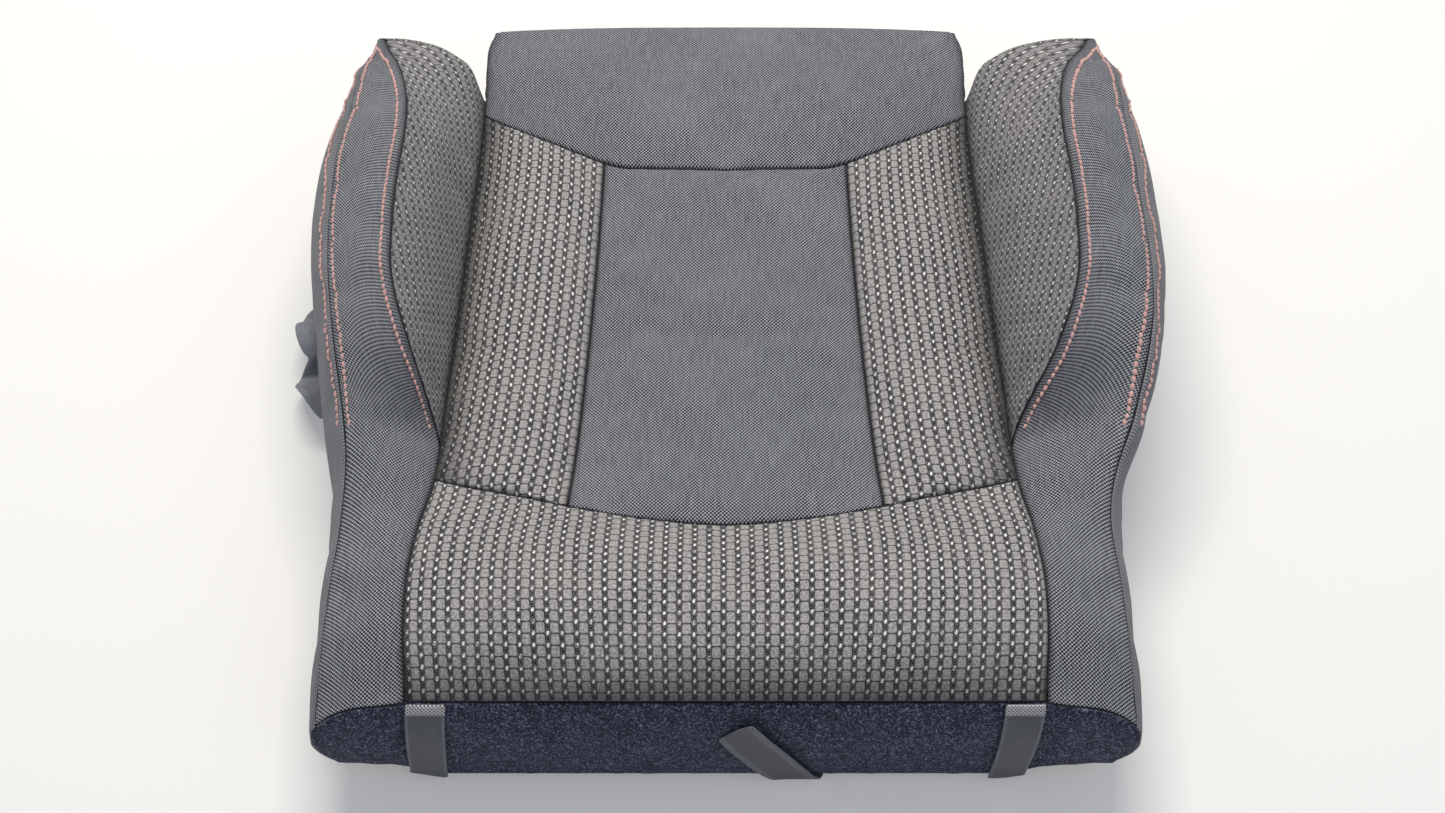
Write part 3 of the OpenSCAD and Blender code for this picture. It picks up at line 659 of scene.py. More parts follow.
@dataclass(frozen=True)
class Lean:
    """The slight lean of the bolsters, in millimetres, more than 0 to the right.

    It starts above low_z and behind start_y, and it is full rise_z higher and rise_y
    further back. Each part of it sets in at a distance from the middle.
    """

    low_z: float = 45
    rise_z: float = 80
    start_y: float = 130
    rise_y: float = 75
    tip_y: float = 400
    valley_x: float = 180
    crest_x: float = 205
    seam_x: float = 235
    left: float = 3.5
    left_tip: float = -4
    right: float = 8
    right_crest: float = 2
    right_tip: float = 12
    right_seam: float = 8

    def moved(self, p: Vector) -> Vector:
        """Return a point of the finished cushion with its lean.

        Args:
            p: Point in metres, in the part's frame.

        Returns:
            The point, moved where it lies high on a bolster.
        """
        y = p.y * 1000 + PAD.pad_l / 2
        high = ramp(p.z * 1000, self.low_z, self.rise_z) * ramp(y, self.start_y, self.rise_y)
        tip = ramp(y, self.tip_y, 100)
        out = abs(p.x) * 1000
        if p.x < 0:
            shift = self.left * ramp(out, self.valley_x, 30) * (1 - tip)
            shift += self.left_tip * tip * tip * ramp(out, self.valley_x, 40)
        else:
            shift = self.right * ramp(out, self.valley_x, 35)
            shift += (self.right_crest + self.right_tip * tip) * ramp(out, self.crest_x, 50)
            belly = ramp(y, self.start_y, 45) * (1 - ramp(y, 260, 120))
            shift += self.right_seam * ramp(out, self.seam_x, 25) * belly
        return p + Vector((shift * high, 0, 0)) / 1000


LEAN = Lean()


# ------------------------------------------------------------------ nodes and finishes
def linear(hex_colour: str) -> tuple[float, float, float, float]:
    """Turn an sRGB hex colour into Blender's linear colour.

    Args:
        hex_colour: Colour such as "#4b4f57".

    Returns:
        Linear red, green, blue and an alpha of 1.
    """
    parts = [int(hex_colour[i : i + 2], 16) / 255 for i in (1, 3, 5)]
    lin = [c / 12.92 if c <= 0.04045 else ((c + 0.055) / 1.055) ** 2.4 for c in parts]
    return (lin[0], lin[1], lin[2], 1.0)


# the kinds of node that the finishes use most
STEP, TIMES, BLEND, NOISE = "MapRange SMOOTHSTEP", "Math MULTIPLY", "Mix RGBA", "TexNoise"
# the property that the second word of a kind sets
MODES = {"Math": "operation", "VectorMath": "operation", "MapRange": "interpolation_type", "Mix": "data_type"}


def add_node(
    tree: bpy.types.NodeTree, kind: str, *values, links: dict | None = None, **settings
) -> bpy.types.Node:
    """Add a node with its settings, its constants and its links.

    Args:
        tree: Node tree that the node goes into.
        kind: Node type and, where it has one, its mode, such as "Math ADD".
        *values: Node, socket or constant of each live input, in order.
        links: The same for inputs that are given by name.
        **settings: Other properties of the node.

    Returns:
        The new node.
    """
    word, _, mode = kind.partition(" ")
    made = tree.nodes.new("ShaderNode" + word)
    if mode:
        settings[MODES[word]] = mode
    for name, value in settings.items():
        setattr(made, name, value)
    filled = dict(zip([socket for socket in made.inputs if socket.enabled], values))
    filled |= {made.inputs[name]: value for name, value in (links or {}).items()}
    for socket, value in filled.items():
        if isinstance(value, bpy.types.Node):
            value = next(out for out in value.outputs if out.enabled)
        if isinstance(value, bpy.types.NodeSocket):
            tree.links.new(value, socket)
        else:
            socket.default_value = linear(value) if isinstance(value, str) else value
    return made


@dataclass
class Finish:
    """A material under construction: its node tree, and the coordinates that patterns lie on."""

    name: str
    viewport: str
    material: bpy.types.Material = field(init=False)
    add: Callable[..., bpy.types.Node] = field(init=False)

    def __post_init__(self) -> None:
        """Start an empty node material."""
        self.material = bpy.data.materials.new(self.name)
        self.material.use_nodes = True
        self.material.diffuse_color = linear(self.viewport)
        self.material.node_tree.nodes.clear()
        self.add = partial(add_node, self.material.node_tree)

    def cloth_xy(self) -> tuple[bpy.types.NodeSocket, bpy.types.NodeSocket, bpy.types.Node]:
        """Return the cloth's own width and length coordinates, in metres, and both as a vector.

        Returns:
            Two sockets and the node that holds the vector.
        """
        uv = self.add("UVMap", uv_map="cloth")
        split = self.add("SeparateXYZ", uv)
        return split.outputs[0], split.outputs[1], uv

    def wave(self, place, pitch_mm: float) -> bpy.types.Node:
        """Return a sine wave of the given pitch along a coordinate in metres."""
        return self.add("Math SINE", self.add(TIMES, place, 2 * math.pi * 1000 / pitch_mm))

    def weighted(self, *terms: tuple) -> bpy.types.Node:
        """Return the sum of values that each have a weight.

        Args:
            *terms: Value and weight of each term.

        Returns:
            The node that holds the sum.
        """
        total = self.add(TIMES, *terms[0])
        for value, weight in terms[1:]:
            total = self.add("Math MULTIPLY_ADD", value, weight, total)
        return total

    def oval(self, across, ahead, half: tuple[float, float], powers: tuple[float, float]) -> bpy.types.Node:
        """Return a field that is 1 on the rim of a rounded cell and falls to 0 at its middle.

        Args:
            across: Distance from the middle across the cell.
            ahead: Distance from the middle along the cell.
            half: Half of its width and half of its length.
            powers: 2 for an oval, more for a squarer rim.

        Returns:
            The node that holds the field.
        """
        parts = []
        for value, size, power in zip((across, ahead), half, powers):
            share = self.add("Math ABSOLUTE", self.add("Math DIVIDE", value, size))
            parts.append(self.add("Math POWER", share, power))
        return self.add("Math ADD", *parts)

    def creased(self, colour) -> bpy.types.Node:
        """Return the colour with painted shade, darker where the cloth is drawn down into a seam or valley.

        Args:
            colour: Colour of the open cloth.

        Returns:
            A colour node.
        """
        split = self.add("SeparateXYZ", self.add("UVMap", uv_map="crease"))
        # painted shade: blend towards near black by each point's share from its painted-shade UV layer
        return self.add(BLEND, split.outputs[0], colour, "#0b0b0d")

    def place(self) -> bpy.types.NodeSocket:
        """Return the piece's own coordinates in metres."""
        return self.add("TexCoord").outputs["Object"]

    def close(
        self, colour, height, depth: float, roughness, sheen: float = 0.0,
        sheen_tint: str = "#ffffff", metallic: float = 0.0, specular: float = 0.5,
        sheen_rough: float = 0.5,
    ) -> bpy.types.Material:
        """Join the sums to a shader and finish the material.

        Args:
            colour: Colour node or hex.
            height: Node whose value is the relief.
            depth: Depth of the relief in metres.
            roughness: Number or node.
            sheen: Weight of the fibre sheen.
            sheen_tint: Colour of the sheen.
            metallic: 1 for bare metal.
            specular: Specular level of the surface.
            sheen_rough: Roughness of the sheen.

        Returns:
            The finished material.
        """
        relief = self.add("Bump", links={"Height": height, "Distance": depth, "Strength": 1.0})
        links = {
            "Base Color": colour, "Roughness": roughness, "Metallic": metallic,
            "Specular IOR Level": specular, "Sheen Weight": sheen,
            "Sheen Tint": sheen_tint, "Sheen Roughness": sheen_rough, "Normal": relief,
        }
        self.add("OutputMaterial", self.add("BsdfPrincipled", links=links))
        return self.material


@dataclass(frozen=True)
class JacquardCloth:
    """Jacquard seat cloth: raised soft pads in columns, with a bright float between them.

    The pads catch the light, the dark ground shows as an arc over each pad, and the
    bright floats make dotted lines down the cloth.
    """

    name: str = "woven_jacquard_cloth"
    pad: str = "#aeacac"
    pad_edge: str = "#858384"
    ground: str = "#17161a"
    rib: str = "#77757a"
    bright: str = "#fbfaf6"
    column_mm: float = 8.7
    row_mm: float = 7.1
    outline: float = 1.0

    def build(self) -> bpy.types.Material:
        """Build the material.

        Places in a cell of the pattern are shares of its column and of its row.

        Returns:
            The finished material.
        """
        f = Finish(self.name, "#7d7a7a")
        x, y, uv = f.cloth_xy()
        wobble = f.weighted((f.add("Math SUBTRACT", f.add(NOISE, uv, 90, 2.0, 0.6), 0.5), 0.0007))
        u, v = (
            f.add("Math FRACT", f.add("Math DIVIDE", f.add("Math ADD", place, wobble), pitch / 1000))
            for place, pitch in ((x, self.column_mm), (y, self.row_mm))
        )
        ahead = f.add("Math SUBTRACT", v, 0.49)
        box = f.oval(f.add("Math SUBTRACT", u, 0.335), ahead, (0.335, 0.5), (4.0, 5.0))
        pad = f.add(STEP, box, 1.1, 0.7)
        # the ground shows as a thin arc over the top of each pad and fades down its sides
        line = f.add(TIMES, f.add(STEP, box, 0.5, 0.85), f.add(STEP, box, 2.0, 1.2))
        arc = f.add(TIMES, f.add("Math MAXIMUM", f.add(STEP, ahead, -0.3, 0.225), 0.42), self.outline)
        # thin column beside the pads: a bright float at the row line, an eyelet half way
        thin_u = f.add("Math SUBTRACT", u, 0.845)
        float_v = f.add("Math SUBTRACT", f.add("Math FRACT", f.add("Math ADD", v, 0.5)), 0.5)
        slant = f.weighted((thin_u, 1.0), (float_v, -0.16))
        uneven = f.add(STEP, f.add(NOISE, uv, 330, 2.0, 0.6), 0.3, 0.52)
        floats = f.add(TIMES, f.add(STEP, f.oval(slant, float_v, (0.1, 0.23), (2.0, 2.0)), 1.25, 0.4), uneven)
        eye = f.oval(thin_u, f.add("Math SUBTRACT", v, 0.5), (0.19, 0.26), (2.0, 2.0))
        ring = f.add(TIMES, f.add(STEP, eye, 0.4, 0.62), f.add(STEP, eye, 1.3, 0.95, 0.0, 0.8))
        hollow = f.add("Math MAXIMUM", ring, f.add(STEP, eye, 0.3, 0.12))
        rib = f.add(STEP, f.add("Math ABSOLUTE", thin_u), 0.19, 0.1)
        fuzz = f.add(NOISE, uv, 620, 4.0, 0.8)
        fibres = f.add(BLEND, f.add(STEP, fuzz, 0.3, 0.7), "#2a2a2c", "#dadada")
        patches = f.add(STEP, f.add(NOISE, uv, 22, 2.0, 0.6), 0.35, 0.7, 0.0, 0.1)
        body = f.add(BLEND, f.add(STEP, box, 0.9, 0.1), self.pad_edge, self.pad)
        colour = f.add(BLEND, pad, f.add(BLEND, rib, self.pad_edge, self.rib), body)
        marks = ((f.add(TIMES, line, arc), self.ground), (hollow, self.ground), (floats, self.bright))
        for share, tone in marks:
            colour = f.add(BLEND, share, colour, tone)
        colour = f.add(BLEND, 0.7, colour, fibres, blend_type="OVERLAY")
        # painted shade where the cloth is drawn down into seams and valleys
        colour = f.creased(f.add(BLEND, patches, colour, "#b9b4b0"))
        height = f.weighted(
            (pad, 0.62), (floats, 0.85), (rib, 0.3), (hollow, -0.5), (fuzz, 0.25), (f.wave(y, 1.8), 0.03)
        )
        return f.close(colour, height, 0.0007, 0.92, sheen=0.1, specular=0.25)


@dataclass(frozen=True)
class BasketCloth:
    """Fine plain-weave seat cloth in two greys, woven so that its dots line up on the bias.

    The crossings repeat every 2.5 mm along the threads, which puts the bias lines
    1.77 mm apart.
    """

    name: str = "plain_weave_cloth"
    dark: str = "#121418"
    light: str = "#aaadb5"
    pitch_mm: float = 2.5
    viewport: str = "#70747d"

    def build(self) -> bpy.types.Material:
        """Build the material.

        Returns:
            The finished material.
        """
        f = Finish(self.name, self.viewport)
        x, y, uv = f.cloth_xy()
        rising = f.wave(f.add("Math ADD", x, y), self.pitch_mm)
        falling = f.wave(f.add("Math SUBTRACT", x, y), self.pitch_mm)
        knot = f.weighted((rising, 0.52), (falling, 0.6))
        fuzz = f.add(NOISE, uv, 1600, 3.0, 0.7)
        streak = f.add(NOISE, f.add("Mapping", uv, links={"Scale": (900.0, 60.0, 1.0)}), 1.0, 2.0, 0.6)
        patches = f.add(STEP, f.add(NOISE, uv, 14, 3.0, 0.6), 0.4, 0.72, 0.0, 0.08)
        # both noises lie round 0.5, so their weights shift the step by half of their sum
        lit = f.add("Math SUBTRACT", f.weighted((knot, 1.0), (fuzz, 0.9), (streak, 0.8)), 0.85)
        colour = f.add(BLEND, f.add(STEP, lit, -0.35, 0.55), self.dark, self.light)
        # painted shade where the cloth is drawn down into seams and valleys
        colour = f.creased(f.add(BLEND, patches, colour, "#b4b7bd"))
        height = f.weighted((knot, 1.0), (fuzz, 0.6))
        return f.close(colour, height, 0.00028, 0.9, sheen=0.15, sheen_tint="#c9d2e6", specular=0.3)


@dataclass(frozen=True)
class SideCloth:
    """Knitted side cloth with fine ribs: plain slate grey and low in sheen."""

    name: str = "ribbed_side_knit"
    dark: str = "#4c4e53"
    light: str = "#8e9096"
    rib_mm: float = 2.2

    def build(self) -> bpy.types.Material:
        """Build the material.

        Returns:
            The finished material.
        """
        f = Finish(self.name, "#6d6f74")
        x, y, uv = f.cloth_xy()
        knot = f.weighted((f.wave(y, self.rib_mm), 0.7), (f.wave(x, 1.6), 0.3))
        fuzz = f.add(NOISE, uv, 1300, 3.0, 0.7)
        patches = f.add(STEP, f.add(NOISE, uv, 12, 2.0, 0.6), 0.4, 0.7, 0.0, 0.12)
        lit = f.add("Math ADD", knot, f.add("Math SUBTRACT", fuzz, 0.5))
        colour = f.add(BLEND, f.add(STEP, lit, -1.0, 1.0), self.dark, self.light)
        colour = f.add(BLEND, patches, colour, "#a0a2a7")
        height = f.weighted((knot, 1.0), (fuzz, 0.7))
        return f.close(colour, height, 0.00025, 0.88, sheen=0.1, specular=0.3)


@dataclass(frozen=True)
class BrushedFleece:
    """Brushed loop fleece: navy pile with paler fibre tips that lie in all directions."""

    name: str = "brushed_navy_fleece"
    deep: str = "#090d1a"
    pile: str = "#262d42"
    tips: str = "#a0a6ba"
    fibre_mm: float = 1.35

    def build(self) -> bpy.types.Material:
        """Build the material.

        Returns:
            The finished material.
        """
        f = Finish(self.name, "#2d3241")
        place = f.place()
        per_m = 1000 / self.fibre_mm
        bend = f.add(NOISE, place, per_m * 0.35, 2.0, 0.6)
        twisted = f.add("VectorMath ADD", place, f.add("VectorMath SCALE", bend.outputs["Color"], 0.0022))
        fibre = f.add(NOISE, twisted, per_m, 4.0, 0.72)
        clump = f.add(NOISE, place, per_m * 0.28, 3.0, 0.6)
        lit = f.weighted((fibre, 0.84), (clump, 0.16))
        colour = f.add(BLEND, f.add(STEP, lit, 0.4, 0.52), self.deep, self.pile)
        colour = f.add(BLEND, f.add(STEP, lit, 0.5, 0.62, 0.0, 0.75), colour, self.tips)
        return f.close(
            colour, lit, 0.003, 0.95, sheen=0.35, sheen_tint="#b4bbd0", specular=0.12, sheen_rough=0.45
        )


@dataclass(frozen=True)
class Webbing:
    """Polyester webbing in a fine twill, with firmer ribs along its selvedges."""

    name: str = "twill_webbing"
    dark: str = "#16181d"
    light: str = "#70757f"
    rib_mm: float = 2.2
    half_w: float = 0.012

    def build(self) -> bpy.types.Material:
        """Build the material.

        Returns:
            The finished material.
        """
        f = Finish(self.name, "#5c5f64")
        x, y, uv = f.cloth_xy()
        twill = f.wave(f.weighted((x, 1.0), (y, 0.9)), self.rib_mm)
        knot = f.weighted((twill, 0.75), (f.wave(y, 1.1), 0.25))
        fuzz = f.add(NOISE, uv, 1800, 2.0, 0.6)
        edge = f.add(STEP, f.add("Math ABSOLUTE", x), self.half_w - 0.0026, self.half_w - 0.0012)
        lit = f.add("Math SUBTRACT", f.weighted((knot, 1.0), (fuzz, 0.8)), 0.4)
        colour = f.add(BLEND, f.add(STEP, lit, -0.5, 0.6), self.dark, self.light)
        colour = f.add(BLEND, f.add(TIMES, edge, 0.5), colour, "#7d8088")
        # eyelet weave where the strap is sewn in under the front seam
        hole = f.add(STEP, f.add(TIMES, f.wave(x, 2.4), f.wave(y, 2.4)), 0.15, 0.55)
        zone = f.add(STEP, y, 0.0085, 0.0065)
        open_eye = f.add(TIMES, zone, hole)
        colour = f.add(BLEND, f.add(TIMES, zone, 0.85), colour, "#d4d4d6")
        colour = f.add(BLEND, open_eye, colour, "#15161a")
        height = f.weighted((knot, 1.0), (edge, 0.8), (open_eye, -1.5))
        return f.close(colour, height, 0.0003, 0.75, sheen=0.2, specular=0.4)


@dataclass(frozen=True)
class DullFabric:
    """Matt needled or spun cloth: felt, dust cloth and seam tapes, with loose fibres."""

    name: str
    dark: str
    light: str
    fibre_mm: float = 0.9
    relief: float = 0.0008

    def build(self) -> bpy.types.Material:
        """Build the material.

        Returns:
            The finished material.
        """
        f = Finish(self.name, self.dark)
        place = f.place()
        stretched = f.add("Mapping", place, links={"Scale": (1.0, 2.2, 1.4)})
        fibre = f.add(NOISE, stretched, 1000 / self.fibre_mm, 4.0, 0.75)
        clump = f.add(STEP, f.add(NOISE, place, 70, 3.0, 0.6), 0.4, 0.7, 0.0, 0.25)
        colour = f.add(BLEND, f.add(STEP, fibre, 0.35, 0.68), self.dark, self.light)
        colour = f.add(BLEND, clump, colour, self.light)
        return f.close(colour, fibre, self.relief, 0.95, sheen=0.15, specular=0.2)


@dataclass(frozen=True)
class CutFoam:
    """Moulded polyurethane foam: cream skin with open pores, yellower in patches."""

    name: str = "moulded_pu_foam"
    skin: str = "#d9cf9e"
    aged: str = "#c3b178"
    pore: str = "#8f8355"

    def build(self) -> bpy.types.Material:
        """Build the material.

        Returns:
            The finished material.
        """
        f = Finish(self.name, self.skin)
        place = f.place()
        cells = f.add("TexVoronoi", place, 520.0)
        sparse = f.add(STEP, f.add(NOISE, place, 160, 2.0, 0.6), 0.5, 0.64)
        holes = f.add(TIMES, f.add(STEP, cells.outputs["Distance"], 0.28, 0.1), sparse)
        patches = f.add(STEP, f.add(NOISE, place, 16, 4.0, 0.6), 0.35, 0.7)
        colour = f.add(BLEND, patches, self.skin, self.aged)
        colour = f.add(BLEND, f.add(TIMES, holes, 0.8), colour, self.pore)
        height = f.add("Math SUBTRACT", f.add(NOISE, place, 900, 2.0, 0.6), holes)
        return f.close(colour, height, 0.0006, 0.9, specular=0.25)


@dataclass(frozen=True)
class ExtrudedPlastic:
    """Black polypropylene profile: satin, with faint draw lines along its length."""

    name: str = "extruded_black_pp"
    body: str = "#1b1b1d"
    scuff: str = "#3c3c40"

    def build(self) -> bpy.types.Material:
        """Build the material.

        Returns:
            The finished material.
        """
        f = Finish(self.name, self.body)
        place = f.place()
        drawn = f.add("Mapping", place, links={"Scale": (12.0, 12.0, 1400.0)})
        scuffs = f.add(STEP, f.add(NOISE, place, 120, 5.0, 0.7), 0.55, 0.75)
        colour = f.add(BLEND, f.add(TIMES, scuffs, 0.6), self.body, self.scuff)
        rough = f.add("Math MULTIPLY_ADD", scuffs, 0.25, 0.38)
        return f.close(colour, f.add(NOISE, drawn, 1.0, 2.0, 0.6), 0.0002, rough, specular=0.5)


@dataclass(frozen=True)
class DrawnWire:
    """Drawn steel wire: bright, with fine draw marks and a little dulling."""

    name: str = "drawn_steel_wire"
    bright: str = "#a9abae"
    dull: str = "#6f6e6c"

    def build(self) -> bpy.types.Material:
        """Build the material.

        Returns:
            The finished material.
        """
        f = Finish(self.name, self.bright)
        place = f.place()
        patches = f.add(STEP, f.add(NOISE, place, 60, 4.0, 0.6), 0.45, 0.7)
        colour = f.add(BLEND, f.add(TIMES, patches, 0.7), self.bright, self.dull)
        rough = f.add("Math MULTIPLY_ADD", patches, 0.3, 0.28)
        return f.close(colour, f.add(NOISE, place, 700, 4.0, 0.7), 0.0001, rough, metallic=1.0)


@dataclass(frozen=True)
class TwistedThread:
    """Twisted polyester sewing thread, with its ply showing as slanted light and dark."""

    name: str
    light: str
    dark: str
    ply_mm: float = 0.9

    def build(self) -> bpy.types.Material:
        """Build the material.

        Returns:
            The finished material.
        """
        f = Finish(self.name, self.light)
        x, y, uv = f.cloth_xy()
        ply = f.wave(f.add("Math ADD", x, y), self.ply_mm)
        worn = f.add(TIMES, f.add(NOISE, f.place(), 400, 2.0, 0.6), 0.35)
        colour = f.add(BLEND, f.add(STEP, ply, -0.9, 0.6), self.dark, self.light)
        colour = f.add(BLEND, worn, colour, self.dark)
        return f.close(colour, ply, 0.0002, 0.6, sheen=0.2, specular=0.4)


# ------------------------------------------------------------------ meshes
# sides of the thin tubes that stand for thread
SIDES = 6
# distances from a sewn edge, in millimetres, at which a cloth has its closest points
EDGE_STEPS = (0.0, 0.7, 1.5, 2.5, 4.0, 6.5, 10.0)


def make_piece(
    name: str,
    verts: Sequence[Vector],
    faces: Sequence[Sequence[int]],
    cloth: Sequence[tuple[float, float]] | None,
    material: bpy.types.Material,
    weld: float = 1e-6,
    crease: Sequence[float] | None = None,
) -> bpy.types.Object:
    """Make an object from points and faces in the part's frame.

    Args:
        name: Name of the piece.
        verts: Points in metres.
        faces: Point numbers of each face.
        cloth: Flat cloth place of each point in metres, or None.
        material: Finish of the piece.
        weld: Distance in metres below which points are merged.
        crease: Share of painted shade of each point, from 0 to 1, where it lies drawn down into a seam, or
            None.

    Returns:
        The object, which sits at the origin.
    """
    mesh = bpy.data.meshes.new(name)
    mesh.from_pydata([tuple(LEAN.moved(v)) for v in verts], [], [list(f) for f in faces])
    if cloth is not None:
        layer = mesh.uv_layers.new(name="cloth")
        for loop in mesh.loops:
            layer.data[loop.index].uv = cloth[loop.vertex_index]
    # painted shade share of each point, kept as a second UV layer for the cloth materials
    if crease is not None:
        layer = mesh.uv_layers.new(name="crease")
        for loop in mesh.loops:
            layer.data[loop.index].uv = (crease[loop.vertex_index], 0.0)
    mesh.materials.append(material)
    made = bpy.data.objects.new(name, mesh)
    bpy.context.scene.collection.objects.link(made)
    shell = bmesh.new()
    shell.from_mesh(mesh)
    bmesh.ops.remove_doubles(shell, verts=shell.verts[:], dist=weld)
    bmesh.ops.dissolve_degenerate(shell, edges=shell.edges[:], dist=weld)
    for face in shell.faces:
        face.smooth = True
    shell.to_mesh(mesh)
    shell.free()
    mesh.update()
    return made


def rounded(piece: bpy.types.Object) -> None:
    """Subdivide a piece once.

    Args:
        piece: Piece that is rounded.
    """
    mod = piece.modifiers.new("rounding", "SUBSURF")
    mod.levels = mod.render_levels = 1
    mod.uv_smooth = "PRESERVE_BOUNDARIES"
    apply_all(piece)


def apply_all(piece: bpy.types.Object) -> None:
    """Apply every modifier of a piece.

    Args:
        piece: Piece whose shape takes the modifiers in.
    """
    bpy.ops.object.select_all(action="DESELECT")
    piece.select_set(True)
    bpy.context.view_layer.objects.active = piece
    for mod in list(piece.modifiers):
        bpy.ops.object.modifier_apply(modifier=mod.name)


def dressed(piece: bpy.types.Object, slot: str | None, *nodes: str) -> None:
    """Fix a piece to the cushion and hide the CAD nodes that it replaces.

    Args:
        piece: Finished piece.
        slot: Not used.
        *nodes: CAD nodes that the piece replaces.
    """
    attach(piece, "root")
    if nodes:
        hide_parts(*nodes)
    LOG.info("%s: %d faces", piece.name, len(piece.data.polygons))


def stations(length: float, cell: float, margin: float = 0.3) -> list[float]:
    """Fractions across a run, set close together beside its sewn ends.

    Args:
        length: Length of the run in millimetres.
        cell: Spacing in the middle of the run in millimetres.
        margin: Gap kept at both ends in millimetres.

    Returns:
        Fractions from just above 0 to just below 1.
    """
    near = [d for d in EDGE_STEPS if d < length * 0.3]
    inner = length - 2 * near[-1]
    n = max(2, round(inner / cell))
    places = near + [near[-1] + inner * k / n for k in range(1, n)]
    places += [length - d for d in reversed(near)]
    return [(margin + p * (length - 2 * margin) / length) / length for p in places]


def arc_rows(grid: Grid) -> list[list[float]]:
    """Return each point's distance along its row.

    Args:
        grid: Points in rows.

    Returns:
        A distance for each point, 0 for the first of each row.
    """
    made = []
    for row in grid:
        total, line = 0.0, [0.0]
        for a, b in zip(row, row[1:]):
            total += (b - a).length
            line.append(total)
        made.append(line)
    return made


def turned(grid: list) -> list:
    """Swap the rows and the columns of a grid."""
    return [list(col) for col in zip(*grid)]


def area_of(grid: Grid) -> float:
    """Return the area of a grid of points in millimetres, in square metres."""
    cells = (quad for low, high in zip(grid, grid[1:]) for quad in zip(low, low[1:], high[1:], high))
    return sum((c - a).cross(d - b).length for a, b, c, d in cells) / 2e6


def shell_faces(rows: int, n: int) -> list[tuple[int, ...]]:
    """Return the faces of a closed sheet between an upper and a lower grid of points.

    Args:
        rows: Rows of each grid.
        n: Points in each row.

    Returns:
        Faces that look up where points run to the right and rows run ahead.
    """
    total = rows * n
    cells = [i * n + j for i in range(rows - 1) for j in range(n - 1)]
    faces = [(k, k + 1, k + n + 1, k + n) for k in cells]
    faces += [(total + k, total + k + n, total + k + n + 1, total + k + 1) for k in cells]
    rim = list(range(n)) + [i * n + n - 1 for i in range(1, rows)]
    rim += [(rows - 1) * n + j for j in range(n - 2, -1, -1)] + [i * n for i in range(rows - 2, 0, -1)]
    return faces + [(a, total + a, total + b, b) for a, b in zip(rim, rim[1:] + rim[:1])]


def face_out(piece: bpy.types.Object) -> None:
    """Turn all faces of a closed piece outwards.

    Args:
        piece: Piece whose faces are turned.
    """
    shell = bmesh.new()
    shell.from_mesh(piece.data)
    bmesh.ops.recalc_face_normals(shell, faces=shell.faces[:])
    shell.to_mesh(piece.data)
    shell.free()


@dataclass
class Draft:
    """Points in metres, faces and flat places of a piece while it is put together."""

    verts: list[Vector] = field(default_factory=list)
    faces: list[tuple[int, ...]] = field(default_factory=list)
    cloth: list[tuple[float, float]] = field(default_factory=list)

    def tube(self, rings: int, side: Side) -> None:
        """Close the last rings of points to a capped tube.

        Args:
            rings: Number of rings.
            side: Half of the cushion that the tube lies in.
        """
        base, n = len(self.verts) - SIDES * rings, SIDES
        last = base + n * (rings - 1)
        new = [
            (v + q, v + (q + 1) % n, v + n + (q + 1) % n, v + n + q)
            for v in range(base, last, n) for q in range(n)
        ]
        new.append(tuple(range(base + n - 1, base - 1, -1)))
        new.append(tuple(range(last, last + n)))
        self.faces += new if side is Side.RIGHT else [face[::-1] for face in new]

    def piece(self, name: str, material: bpy.types.Material) -> bpy.types.Object:
        """Return the finished piece."""
        return make_piece(name, self.verts, self.faces, self.cloth, material, weld=1e-7)


